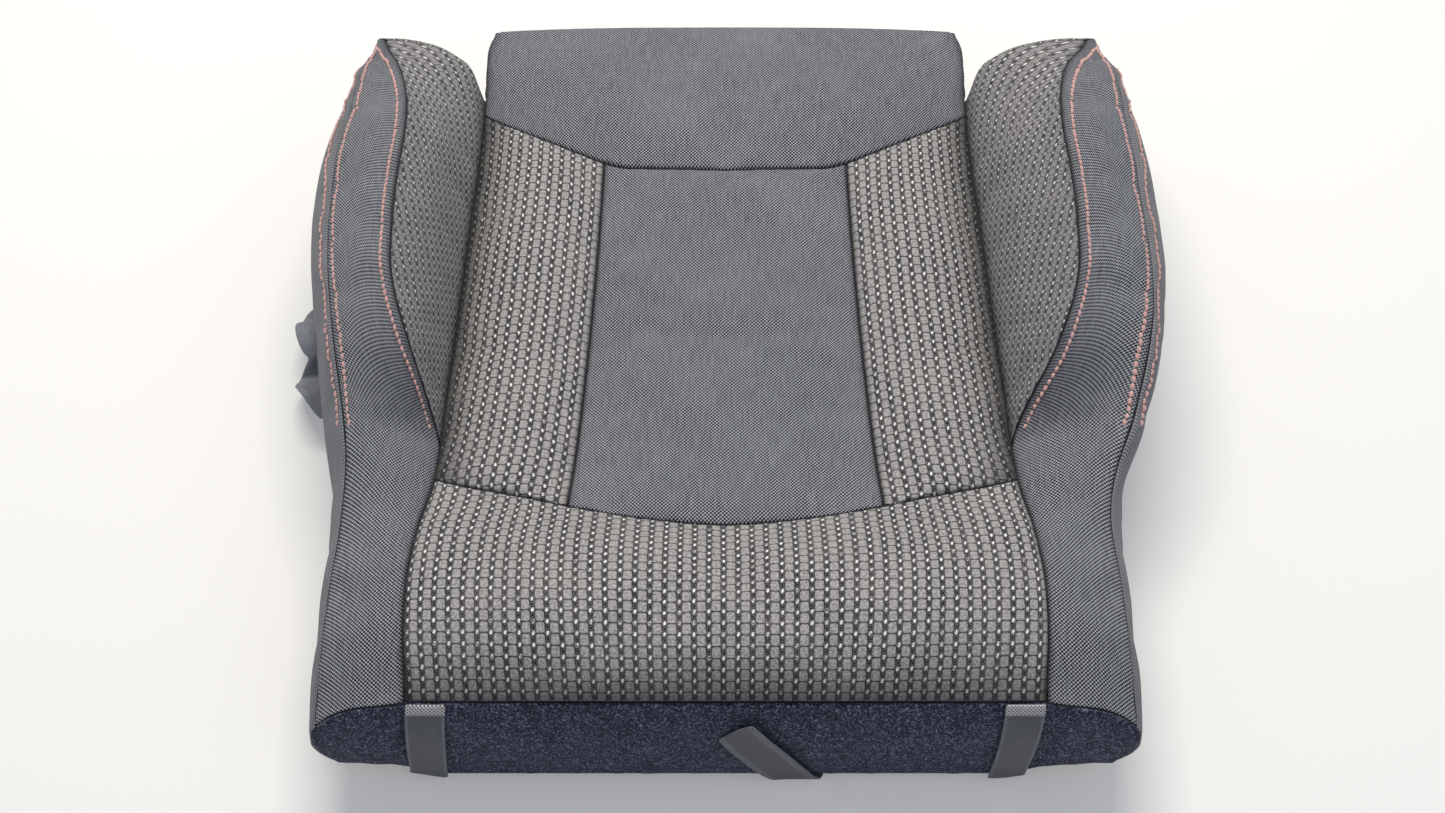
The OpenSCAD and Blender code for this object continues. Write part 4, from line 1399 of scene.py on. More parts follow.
@dataclass
class Panel:
    """One sewn cloth panel: its outer points, its flat cloth places and how its edges end.

    Rows run to the rear or upwards and columns run across. Sizes are in millimetres: an
    edge turns down by depth within roll of its seam, and puckers and ripples have the given
    lengths. Painted shade darkens the cloth where it is drawn down beside its sides, and
    behind its front seam where it rolls over.
    """

    name: str
    points: Grid
    cloth: Cloth
    rear: float
    slot: str
    rests_on: str
    roll: float = 3.2
    depth: float = 2.35
    thick: float = 3.0
    pucker: float = 0.35
    pucker_mm: float = 11
    ripple_mm: float = 38
    # painted shade: how dark the sides and the rolled-over front edge are painted, and how far it reaches in
    # mm
    crease_deep: float = 0.9
    roll_deep: float = 0.66
    seed: float = 0.0
    creases: tuple[float, float] = (1.6, 1.6)
    roll_over: float = 0.01
    settled: Grid | None = None

    def edge_distances(self) -> tuple[list[list[float]], list[list[float]]]:
        """Return each point's distance to its nearest side edge and to its nearest end edge.

        Returns:
            Two grids of distances in millimetres.
        """
        rows = arc_rows(self.points)
        cols = turned(arc_rows(turned(self.points)))
        near_side = [[min(d, r[-1] - d) for d in r] for r in rows]
        last = len(cols) - 1
        near_end = [
            [min(cols[i][j], cols[last][j] - cols[i][j]) for j in range(len(cols[i]))]
            for i in range(len(cols))
        ]
        return near_side, near_end

    def layers(self) -> tuple[Grid, Grid]:
        """Return the outer and inner points of the finished cloth, its edges turned down.

        Returns:
            Two grids of points in millimetres.
        """
        side_d, end_d = self.edge_distances()
        outer, inner = [], []
        for i, row in enumerate(self.points):
            top, low = [], []
            for j, p in enumerate(row):
                way = PAD.inward(p, self.rear)
                a = clamp(1 - side_d[i][j] / self.roll, 0, 1)
                b = clamp(1 - end_d[i][j] / self.roll, 0, 1)
                drop = self.depth * (1 - math.sqrt((1 - a * a) * (1 - b * b)))
                near = min(side_d[i][j], end_d[i][j])
                wave = noise.noise(p / self.pucker_mm + Vector((self.seed, 0, 3)))
                wave += 0.6 * noise.noise(2 * p / self.pucker_mm + Vector((self.seed, 7, 1)))
                dip = self.pucker * wave * math.exp(-near / 7) * clamp(near / 1.5, 0, 1)
                wide = 0.5 * self.pucker * noise.noise(p / self.ripple_mm + Vector((2, self.seed, 5)))
                body = self.settled[i][j] if self.settled else p
                top.append(body + (drop - dip - wide * clamp(near / 20, 0, 1)) * way)
                low.append(p + self.thick * way)
            outer.append(top)
            inner.append(low)
        return outer, inner

    def build(self, material: bpy.types.Material, side: Side = Side.RIGHT) -> bpy.types.Object:
        """Make the panel as a closed sheet.

        Args:
            material: Cloth of the panel.
            side: Half of the cushion that the panel is placed in.

        Returns:
            The finished piece.
        """
        outer, inner = self.layers()
        faces = shell_faces(len(outer), len(outer[0]))
        if self.faces_out() != (side is Side.RIGHT):
            faces = [face[::-1] for face in faces]
        verts = [metres(p, side) for row in outer + inner for p in row]
        places = [c for row in self.cloth for c in row]
        # painted shade of each point, for the cloth materials
        folds = self.folds()
        piece = make_piece(self.name, verts, faces, places + places, material, crease=folds + folds)
        rounded(piece)
        flat = self.flat_size()
        clamp(area_of(self.points), 0.3 * flat[0] * flat[1], flat[0] * flat[1])
        return piece

    def faces_out(self) -> bool:
        """Return whether cells that run across and then ahead look out of the right half.

        Returns:
            True where the faces need no turning on the right.
        """
        i, j = len(self.points) // 2, len(self.points[0]) // 2
        a = self.points[i][j]
        normal = (self.points[i][j + 1] - a).cross(self.points[i + 1][j] - a)
        return normal.dot(PAD.inward(a, self.rear)) < 0

    def folds(self) -> list[float]:
        """Return the share of painted shade of each point, beside the panel's sides and behind its front
        seam.

        Returns:
            A share from 0 to 0.9 for each point.
        """
        made = []
        first, last = self.creases
        # painted shade falls off from each side and from the front seam
        for row, run in zip(arc_rows(self.points), turned(arc_rows(turned(self.points)))):
            for d, ahead in zip(row, run):
                near = self.crease_deep * math.exp(-((d / first) ** 1.3))
                near += self.crease_deep * math.exp(-(((row[-1] - d) / last) ** 1.3))
                near += self.roll_deep * math.exp(-((ahead / self.roll_over) ** 1.6))
                made.append(min(near, self.crease_deep))
        return made

    def flat_size(self) -> tuple[float, float]:
        """Return the width and length of the flat cut in metres.

        Returns:
            Width and length.
        """
        rows, cols = arc_rows(self.points), arc_rows(turned(self.points))
        wide = max(r[-1] for r in rows) / 1000
        tall = max(c[-1] for c in cols) / 1000
        return (wide, max(tall, area_of(self.points) / wide))


def centred_cloth(points: Grid, start: float = 0.5, by_depth: bool = False) -> Cloth:
    """Flat cloth places measured along the panel's own rows and columns.

    Args:
        points: Outer points in millimetres.
        start: Where the width is counted from, as a share of each row.
        by_depth: Count the length by distance behind the front band.

    Returns:
        Width and length of each point, in metres.
    """
    rows, cols = arc_rows(points), turned(arc_rows(turned(points)))
    return [
        [
            (
                (rows[i][j] - start * rows[i][-1]) / 1000,
                (points[i][j].y if by_depth else cols[i][j]) / 1000,
            )
            for j in range(len(points[i]))
        ]
        for i in range(len(points))
    ]


def grid_of(face: Callable[[float, float], Vector], us: Sequence[float], vs: Sequence[float]) -> Grid:
    """Sample a surface on rows of v and columns of u."""
    return [[face(u, v) for u in us] for v in vs]


# ------------------------------------------------------------------ cloth settling
@dataclass
class ClothSettling:
    """Lets the panels swell over their foam, each pinned along its own seams."""

    pressure: float = 1.6
    growth: float = 0.006
    cap_mm: float = 3.0
    frames: int = 20

    def settle(self, panels: Sequence[Panel]) -> None:
        """Run one cloth simulation over the panels and keep where their points end.

        Args:
            panels: Panels whose points are moved.
        """
        verts: list[Vector] = []
        faces: list[tuple[int, ...]] = []
        pinned: list[int] = []
        for panel in panels:
            base, rows, n = len(verts), len(panel.points), len(panel.points[0])
            out = panel.faces_out()
            for i, row in enumerate(panel.points):
                for j, p in enumerate(row):
                    if i in (0, rows - 1) or j in (0, n - 1):
                        pinned.append(len(verts))
                    verts.append(p / 1000)
                    if i and j:
                        k = base + (i - 1) * n + j - 1
                        quad = (k, k + 1, k + n + 1, k + n)
                        faces.append(quad if out else quad[::-1])
        mesh = bpy.data.meshes.new("settling")
        mesh.from_pydata([tuple(v) for v in verts], [], faces)
        temp = bpy.data.objects.new("settling", mesh)
        bpy.context.scene.collection.objects.link(temp)
        temp.vertex_groups.new(name="seams").add(pinned, 1.0, "REPLACE")
        mod = temp.modifiers.new("cloth", "CLOTH")
        cloth = mod.settings
        cloth.quality = 6
        cloth.mass = 0.3
        cloth.tension_stiffness = cloth.compression_stiffness = 20
        cloth.shear_stiffness = 8
        cloth.bending_stiffness = 0.4
        cloth.air_damping = 3
        cloth.vertex_group_mass = "seams"
        cloth.shrink_min = -self.growth
        cloth.use_pressure = True
        cloth.uniform_pressure_force = self.pressure
        cloth.effector_weights.gravity = 0
        mod.point_cache.frame_start = 1
        mod.point_cache.frame_end = self.frames
        scene = bpy.context.scene
        for frame_no in range(1, self.frames + 1):
            scene.frame_set(frame_no)
        apply_all(temp)
        moved = [v.co * 1000 for v in temp.data.vertices]
        scene.frame_set(1)
        bpy.data.objects.remove(temp)
        bpy.data.meshes.remove(mesh)
        at = 0
        for panel in panels:
            settled: Grid = []
            for row in panel.points:
                line = []
                for p in row:
                    shift = moved[at] - p
                    at += 1
                    if shift.length > self.cap_mm:
                        shift = shift.normalized() * self.cap_mm
                    line.append(p + shift)
                settled.append(line)
            panel.settled = settled
            gone = max((a - b).length for r, s in zip(panel.points, settled) for a, b in zip(r, s))
            LOG.info("%s settled by up to %.1f mm", panel.name, gone)


# ------------------------------------------------------------------ the sewn cover
@dataclass
class Cover:
    """The sewn cover: every cloth panel, sampled from the pad's shape.

    Each call of stations has the panel's rounded width or length in millimetres.
    """

    cell: float = 6.0
    panels: list[tuple[Panel, Side]] = field(default_factory=list)

    def seat_panels(self) -> None:
        """Sample the front, insert, centre and rear panels."""
        ts = stations(PAD.valley_w, self.cell)
        grid = grid_of(PAD.front_top, ts, stations(158, self.cell))
        wide = arc_rows(grid)[len(grid) // 3][-1]
        cols = turned(arc_rows(turned(grid)))
        cloth = [[((t - 0.5) * wide / 1000, cols[i][j] / 1000) for j, t in enumerate(ts)]
                 for i in range(len(grid))]
        # the front panel gets painted shade behind its front seam where it rolls over
        self.add(Panel("front_panel_cloth", grid, cloth, PAD.centre_rear, "patterned_cloth", "foam_core",
                       seed=1, roll_over=20))
        vs = stations(300, self.cell)
        grid = grid_of(PAD.centre_top, stations(190, self.cell), vs)
        self.add(Panel("centre_panel_cloth", grid, centred_cloth(grid, 0.5, True), PAD.centre_rear,
                       "plain_cloth", "foam_core", seed=2))
        grid = grid_of(PAD.insert_top, stations(90, self.cell), vs)
        for side in Side:
            cloth = centred_cloth(grid, 0.0, True)
            # painted shade reaches far in from the valley side
            self.add(Panel(f"{side.word}_insert_cloth", grid, cloth, PAD.centre_rear,
                           "patterned_cloth", "foam_core", seed=3 + side.value, creases=(1.6, 15)), side)
        grid = grid_of(PAD.rear_top, stations(PAD.tongue_w, self.cell), stations(118, self.cell))
        self.add(Panel("rear_panel_cloth", grid, centred_cloth(grid, 0.5, True), PAD.centre_rear,
                       "plain_cloth", "foam_core", seed=6, creases=(3, 3)))

    def bolster_panels(self) -> None:
        """Sample the inner, outer, end and side panels of both bolsters."""
        for side in Side:
            foam = f"{side.word}_bolster_foam"
            tag = 8 + side.value
            runs = stations(330, self.cell)
            ss = [PAD.crest_start + (1 - PAD.crest_start) * r for r in runs]
            grid = [[PAD.inner_face(s, w) for w in stations(76, self.cell)] for s in ss]
            # painted shade reaches further in from the valley side
            self.add(Panel(f"{side.word}_bolster_inner_cloth", grid, self.slanted(grid), PAD.bolster_rear,
                           "patterned_cloth", foam, seed=tag, creases=(6, 1.6)), side)
            ss = stations(PAD.tip_y, self.cell)
            grid = [[PAD.outer_face(s, w) for w in stations(64, self.cell)] for s in ss]
            self.add(Panel(f"{side.word}_bolster_outer_cloth", grid, centred_cloth(grid), PAD.bolster_rear,
                           "plain_cloth", foam, seed=tag + 3), side)
            grid = [[PAD.side_face(s, w) for w in stations(120, self.cell)] for s in ss]
            self.add(Panel(f"{side.word}_side_cloth", grid, centred_cloth(grid, 0.0), PAD.bolster_rear,
                           "side_cloth", foam, seed=tag + 6), side)
            grid = grid_of(PAD.end_face, stations(65, 2.6), stations(100, self.cell))
            self.add(Panel(f"{side.word}_bolster_end_cloth", grid, centred_cloth(grid), PAD.bolster_rear,
                           "patterned_cloth", foam, seed=tag + 9), side)

    def edge_panels(self) -> None:
        """Sample the fleece band on the front and the skirt round the tongue."""
        us = [2 * u - 1 for u in stations(PAD.front_w, self.cell)]
        grid = grid_of(PAD.band_face, us, stations(88, self.cell))
        self.add(Panel("front_fleece_pile", grid, centred_cloth(grid), PAD.centre_rear,
                       "fleece", "foam_core", roll=5.0, depth=2.0, pucker=0.9, seed=21))
        line = PAD.skirt_line()
        top = PAD.seat_h + 1.2
        plan = [along(line, u) for u in stations(480, self.cell, 0.0)]
        vs = stations(top - PAD.hem_h, self.cell, 0.0)
        feet = [PAD.hem_h - 11 * ease((abs(p.x) - PAD.rim_half + 24) / 10) for p in plan]
        grid = [[Vector((p.x, p.y, mix(foot, top, v))) for p, foot in zip(plan, feet)] for v in vs]
        self.add(Panel("rear_skirt_cloth", grid, centred_cloth(grid), PAD.centre_rear,
                       "plain_cloth", "foam_core", roll=2.5, seed=24))

    def slanted(self, grid: Grid) -> Cloth:
        """Flat cloth places of a bolster's seat side, whose columns follow the crest's front half.

        Args:
            grid: Outer points of the panel.

        Returns:
            Width and length of each point, in metres.
        """
        lengthwise = (PAD.crest(0.62) - PAD.crest(0.43)).normalized()
        face = (PAD.inner_face(0.75, 1) - PAD.inner_face(0.75, 0)).normalized()
        normal = lengthwise.cross(face).normalized()
        crosswise = normal.cross(lengthwise)
        origin = PAD.crest(0.62)
        return [
            [((p - origin).dot(crosswise) / 1000, (p - origin).dot(lengthwise) / 1000) for p in row]
            for row in grid
        ]

    def add(self, panel: Panel, side: Side = Side.RIGHT) -> None:
        """Keep a sampled panel with the half it belongs to."""
        self.panels.append((panel, side))

    def build(self, cloths: dict[str, bpy.types.Material]) -> None:
        """Sample, settle and make every panel.

        Args:
            cloths: Material of each slot.
        """
        self.seat_panels()
        self.bolster_panels()
        self.edge_panels()
        ClothSettling().settle([panel for panel, side in self.panels])
        nodes = {
            "front_panel_cloth": "front_panel", "centre_panel_cloth": "centre_panel",
            "rear_panel_cloth": "rear_panel", "front_fleece_pile": "front_fleece_band",
            "rear_skirt_cloth": "rear_skirt",
        }
        for side in Side:
            for part in ("insert", "bolster_inner", "bolster_outer", "bolster_end", "side"):
                nodes[f"{side.word}_{part}_cloth"] = f"{side.word}_{part}_panel"
        for panel, side in self.panels:
            on_bolster = panel.slot == "patterned_cloth" and "bolster" in panel.name
            piece = panel.build(cloths["bolster_cloth" if on_bolster else panel.slot], side)
            dressed(piece, panel.slot, nodes[panel.name])


# ------------------------------------------------------------------ foam and felt
@dataclass
class FoamBlock:
    """A moulded foam block: the CAD form with the soft corners that a mould leaves."""

    node: str
    name: str
    voxel: float = 0.004
    ease_mm: float = 0.45

    def build(self, material: bpy.types.Material) -> bpy.types.Object:
        """Make the block.

        Args:
            material: Foam finish.

        Returns:
            The finished piece.
        """
        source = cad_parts[self.node]
        mesh = source.data.copy()
        mesh.name = self.name
        piece = bpy.data.objects.new(self.name, mesh)
        bpy.context.scene.collection.objects.link(piece)
        shell = bmesh.new()
        shell.from_mesh(mesh)
        bmesh.ops.remove_doubles(shell, verts=shell.verts[:], dist=1e-5)
        shell.to_mesh(mesh)
        shell.free()
        remesh = piece.modifiers.new("cells", "REMESH")
        remesh.mode = "VOXEL"
        remesh.voxel_size = self.voxel
        soften = piece.modifiers.new("soften", "SMOOTH")
        soften.factor = 0.5
        soften.iterations = 2
        apply_all(piece)
        mesh = piece.data
        normals = [v.normal.copy() for v in mesh.vertices]
        for vert, normal in zip(mesh.vertices, normals):
            wave = noise.noise(vert.co * 28) * 0.00025
            vert.co = LEAN.moved(vert.co - normal * (self.ease_mm / 1000 + abs(wave)))
        for face in mesh.polygons:
            face.use_smooth = True
        mesh.materials.clear()
        mesh.materials.append(material)
        return piece


@dataclass
class FeltSheet:
    """The felt under the foam, cut to the foot of the pad and laid flat."""

    rows: int = 64
    cols: int = 56

    def half_width(self, y: float) -> float:
        """Half the felt's width at distance y behind the front band.

        Args:
            y: Distance in millimetres.

        Returns:
            Half the width in millimetres.
        """
        if y > PAD.tip_y - 2:
            return PAD.tongue_w / 2 - PAD.step_w - 2
        return PAD.hem(PAD.run_s(y)).x - PAD.step_w - 2

    def build(self, material: bpy.types.Material) -> bpy.types.Object:
        """Make the felt as a closed, slightly uneven sheet.

        Args:
            material: Felt finish.

        Returns:
            The finished piece.
        """
        first = PAD.lip_y + PAD.step_w - PAD.corner_drop + 3
        last = PAD.pad_l - PAD.rim_bow - 2 - PAD.step_w
        ys = [mix(first, last, k / self.rows) for k in range(self.rows + 1)]
        ys = sorted(ys + [PAD.tip_y - 2.01, PAD.tip_y - 1.99])
        top, low, cloth = [], [], []
        for y in ys:
            half = self.half_width(y)
            for k in range(self.cols + 1):
                x = mix(-half, half, k / self.cols)
                rise = 0.3 * (0.5 + 0.5 * noise.noise(Vector((x / 9, y / 9, 0))))
                edge = min(half - abs(x), y - first, last - y)
                thin = 0.6 * (1 - ease(edge / 4))
                top.append(metres(Vector((x, y, PAD.felt_t - rise - thin))))
                low.append(metres(Vector((x, y, 0.3 * rise + thin))))
                cloth.append((x / 1000, y / 1000))
        faces = shell_faces(len(ys), self.cols + 1)
        piece = make_piece("underside_felt_sheet", top + low, faces, cloth + cloth, material)
        size = (2 * max(self.half_width(y) for y in ys) / 1000, (last - first) / 1000)
        return piece


# ------------------------------------------------------------------ stitching
@dataclass
class StitchRow:
    """A row of top stitches along a path on the cover.

    Each section of a stitch has its place along the stitch, its thickness and its lift,
    as shares of the stitch's length and radius.
    """

    path: list[tuple[Vector, Vector]]
    length: float = 4.6
    pitch: float = 4.9
    radius: float = 0.95
    slant: float = 0.16
    sections: tuple[tuple[float, float, float], ...] = (
        (-0.5, 0.35, -0.75), (-0.36, 0.95, -0.05), (0.0, 1.1, 0.32), (0.36, 0.95, -0.05), (0.5, 0.35, -0.75),
    )

    def sew(self, draft: Draft, side: Side) -> None:
        """Add the row's stitches to a draft.

        Args:
            draft: Piece that takes the stitches.
            side: Half of the cushion that the row is placed in.
        """
        dist = [0.0]
        for (a, _), (b, _) in zip(self.path, self.path[1:]):
            dist.append(dist[-1] + (b - a).length)
        seg = 0
        for k in range(int(dist[-1] / self.pitch)):
            at = (k + 0.5) * self.pitch
            while seg < len(dist) - 2 and dist[seg + 1] < at:
                seg += 1
            f = (at - dist[seg]) / max(dist[seg + 1] - dist[seg], 1e-6)
            centre = mix(self.path[seg][0], self.path[seg + 1][0], f)
            normal = mix(self.path[seg][1], self.path[seg + 1][1], f).normalized()
            ahead = (self.path[seg + 1][0] - self.path[seg][0]).normalized()
            cross = normal.cross(ahead).normalized()
            ahead = (ahead + cross * self.slant).normalized()
            cross = normal.cross(ahead).normalized()
            for share, fat, lift in self.sections:
                mid = centre + ahead * share * self.length + normal * (lift * self.radius + 0.1)
                for q in range(SIDES):
                    ang = 2 * math.pi * q / SIDES
                    off = cross * math.cos(ang) + normal * math.sin(ang) * 0.85
                    draft.verts.append(metres(mid + off * self.radius * fat, side))
                    draft.cloth.append(((share * self.length + k * 0.37) / 1000, 0.0007 * q))
            draft.tube(len(self.sections), side)


@dataclass
class Stitching:
    """Contrast top stitching of the bolsters and the dark closing thread of every seam."""

    panels: dict[str, Panel]
    inset: float = 6.0
    seam_inset: float = 6.8
    thread_r: float = 0.7
    thread_in: float = 1.9

    def surface(
        self, name: str, face: Callable[[float, float], Vector], s: float, w: float
    ) -> tuple[Vector, Vector]:
        """Point on a finished cloth with its outward direction.

        Args:
            name: Panel whose settled shape the point follows.
            face: Surface of the panel before settling.
            s: Place along the bolster.
            w: Place across it.

        Returns:
            The point and the direction out of the cloth.
        """
        p = face(s, w)
        out = -PAD.inward(p, PAD.bolster_rear)
        ds = (face(min(s + 0.004, 1.0), w) - face(max(s - 0.004, 0.0), w)).normalized()
        dw = (face(s, min(w + 0.02, 1.0)) - face(s, max(w - 0.02, 0.0))).normalized()
        normal = ds.cross(dw).normalized()
        if normal.dot(out) < 0:
            normal = -normal
        panel = self.panels[name]
        if panel.settled is None:
            return p, normal
        best = min(
            ((q - p).length_squared, i, j)
            for i, row in enumerate(panel.points)
            if abs(row[0].y - p.y) < 14
            for j, q in enumerate(row)
        )
        shift = panel.settled[best[1]][best[2]] - panel.points[best[1]][best[2]]
        return p + shift.dot(normal) * normal, normal

    def crest_row(self, side: Side) -> list[tuple[Vector, Vector]]:
        """Path of the row beside the crest seam, which turns down over the rear tip.

        Args:
            side: Half of the cushion that it lies in.

        Returns:
            Points, each with the direction out of the cloth.
        """
        name = f"{side.word}_bolster_outer_cloth"
        path = []
        for k in range(121):
            s = mix(PAD.crest_start + 0.008, 0.972, k / 120)
            wide = (PAD.outer_seam(s) - PAD.strip_edge(s)).length
            path.append(self.surface(name, PAD.outer_face, s, self.inset / wide))
        start = self.inset / (PAD.outer_seam(0.985) - PAD.strip_edge(0.985)).length
        for k in range(1, 14):
            turn = k / 13
            s = 0.972 + 0.013 * math.sin(math.pi * min(turn, 0.5))
            path.append(self.surface(name, PAD.outer_face, s, mix(start, 0.9, turn)))
        return path

    def seam_rows(self, side: Side) -> list[list[tuple[Vector, Vector]]]:
        """Paths of the two rows that run beside the outer seam.

        Args:
            side: Half of the cushion that it lies in.

        Returns:
            Two paths of points, each with the direction out of the cloth.
        """
        upper, lower = [], []
        for k in range(131):
            s = mix(0.36, 0.975, k / 130)
            w = 1 - self.seam_inset / (PAD.outer_seam(s) - PAD.strip_edge(s)).length
            upper.append(self.surface(f"{side.word}_bolster_outer_cloth", PAD.outer_face, s, w))
            w = self.seam_inset * 1.1 / (PAD.hem(s) - PAD.outer_seam(s)).length
            lower.append(self.surface(f"{side.word}_side_cloth", PAD.side_face, s, w))
        return [upper, lower]

    def contrast(self, side: Side, material: bpy.types.Material) -> None:
        """Make the contrast stitches of one bolster.

        Args:
            side: Half of the cushion that it lies in.
            material: Thread that is sewn with.
        """
        draft = Draft()
        for path in [self.crest_row(side), *self.seam_rows(side)]:
            StitchRow(path).sew(draft, side)
        dressed(draft.piece(f"{side.word}_contrast_stitching", material), None)

    def seam_paths(self) -> dict[str, list[Vector]]:
        """Seam lines of the cover, on the right half or across it.

        Returns:
            Points in millimetres by name of the seam.
        """
        run = [k / 90 for k in range(91)]
        crest = [PAD.crest_start + (1 - PAD.crest_start) * t for t in run]
        return {
            "roll_seam": [PAD.roll_line(mix(0.01, 0.99, t)) for t in run],
            "rear_seam": [PAD.rear_line(mix(0.01, 0.99, t)) for t in run],
            "band_seam": [PAD.band_top(mix(-0.985, 0.985, t)) for t in run],
            "rim_seam": [PAD.rim_line(mix(0.02, 0.98, t)) for t in run],
            "centre_seams": [PAD.centre_seam(mix(0.01, 0.99, t)) for t in run],
            "valley_seams": [PAD.valley(mix(0.01, 0.985, t)) for t in run],
            "crest_seams": [PAD.crest(mix(0.4, 0.992, t)) for t in run],
            "outer_seams": [PAD.outer_seam(mix(0.01, 0.99, t)) for t in run],
            "tip_seams": [PAD.outer_face(1, mix(0.04, 0.96, t)) for t in run],
        }

    def closing_thread(self, material: bpy.types.Material) -> None:
        """Make the dark thread that shows in the bottom of each seam.

        Args:
            material: Thread that is sewn with.
        """
        draft = Draft()
        for name, path in self.seam_paths().items():
            paired = name.endswith("seams")
            rear = PAD.bolster_rear if paired and name != "centre_seams" else PAD.centre_rear
            for side in Side if paired else (Side.RIGHT,):
                far = 0.0
                for before, p, after in zip(path[:1] + path, path, path[1:] + path[-1:]):
                    far += (p - before).length
                    way = PAD.inward(p, rear)
                    ahead = (after - before).normalized()
                    cross = ahead.cross(way).normalized()
                    up = cross.cross(ahead).normalized()
                    for q in range(SIDES):
                        ang = 2 * math.pi * q / SIDES
                        off = (cross * math.cos(ang) + up * math.sin(ang)) * self.thread_r
                        draft.verts.append(metres(p + way * self.thread_in + off, side))
                        draft.cloth.append((far / 1000, 0.0007 * q))
                draft.tube(len(path), side)
        piece = draft.piece("seam_closing_thread", material)
        face_out(piece)
        dressed(piece, "plain_cloth")


# ------------------------------------------------------------------ straps, flap and listing
@dataclass
class Ribbon:
    """A flat woven strap or cloth edge, made as a closed sheet between two grids."""

    name: str
    points: Grid
    thick: float
    cloth: Cloth
    fat_edges: float = 0.0

    def build(self, material: bpy.types.Material, side: Side) -> bpy.types.Object:
        """Make the ribbon.

        Args:
            material: Weave of the ribbon.
            side: Half of the cushion that it is placed in.

        Returns:
            The finished piece.
        """
        rows, n = len(self.points), len(self.points[0])
        top, low = [], []
        for i in range(rows):
            for j in range(n):
                p = self.points[i][j]
                a, b = self.points[max(i - 1, 0)][j], self.points[min(i + 1, rows - 1)][j]
                c, d = self.points[i][max(j - 1, 0)], self.points[i][min(j + 1, n - 1)]
                normal = (b - a).cross(d - c).normalized()
                edge = min(j, n - 1 - j)
                half = self.thick / 2 * (1.0 + (self.fat_edges if edge == 1 else 0.0))
                half *= 0.55 if edge == 0 else 1.0
                top.append(p + normal * half)
                low.append(p - normal * half)
        faces = shell_faces(rows, n)
        if side is Side.RIGHT:
            faces = [face[::-1] for face in faces]
        places = [c for row in self.cloth for c in row]
        verts = [metres(p, side) for p in top + low]
        piece = make_piece(self.name, verts, faces, places + places, material)
        rounded(piece)
        return piece

    def flat(self) -> tuple[float, float]:
        """Return the width and length of the flat ribbon in metres."""
        wide = max(r[-1] for r in arc_rows(self.points)) / 1000
        return wide, max(c[-1] for c in arc_rows(turned(self.points))) / 1000


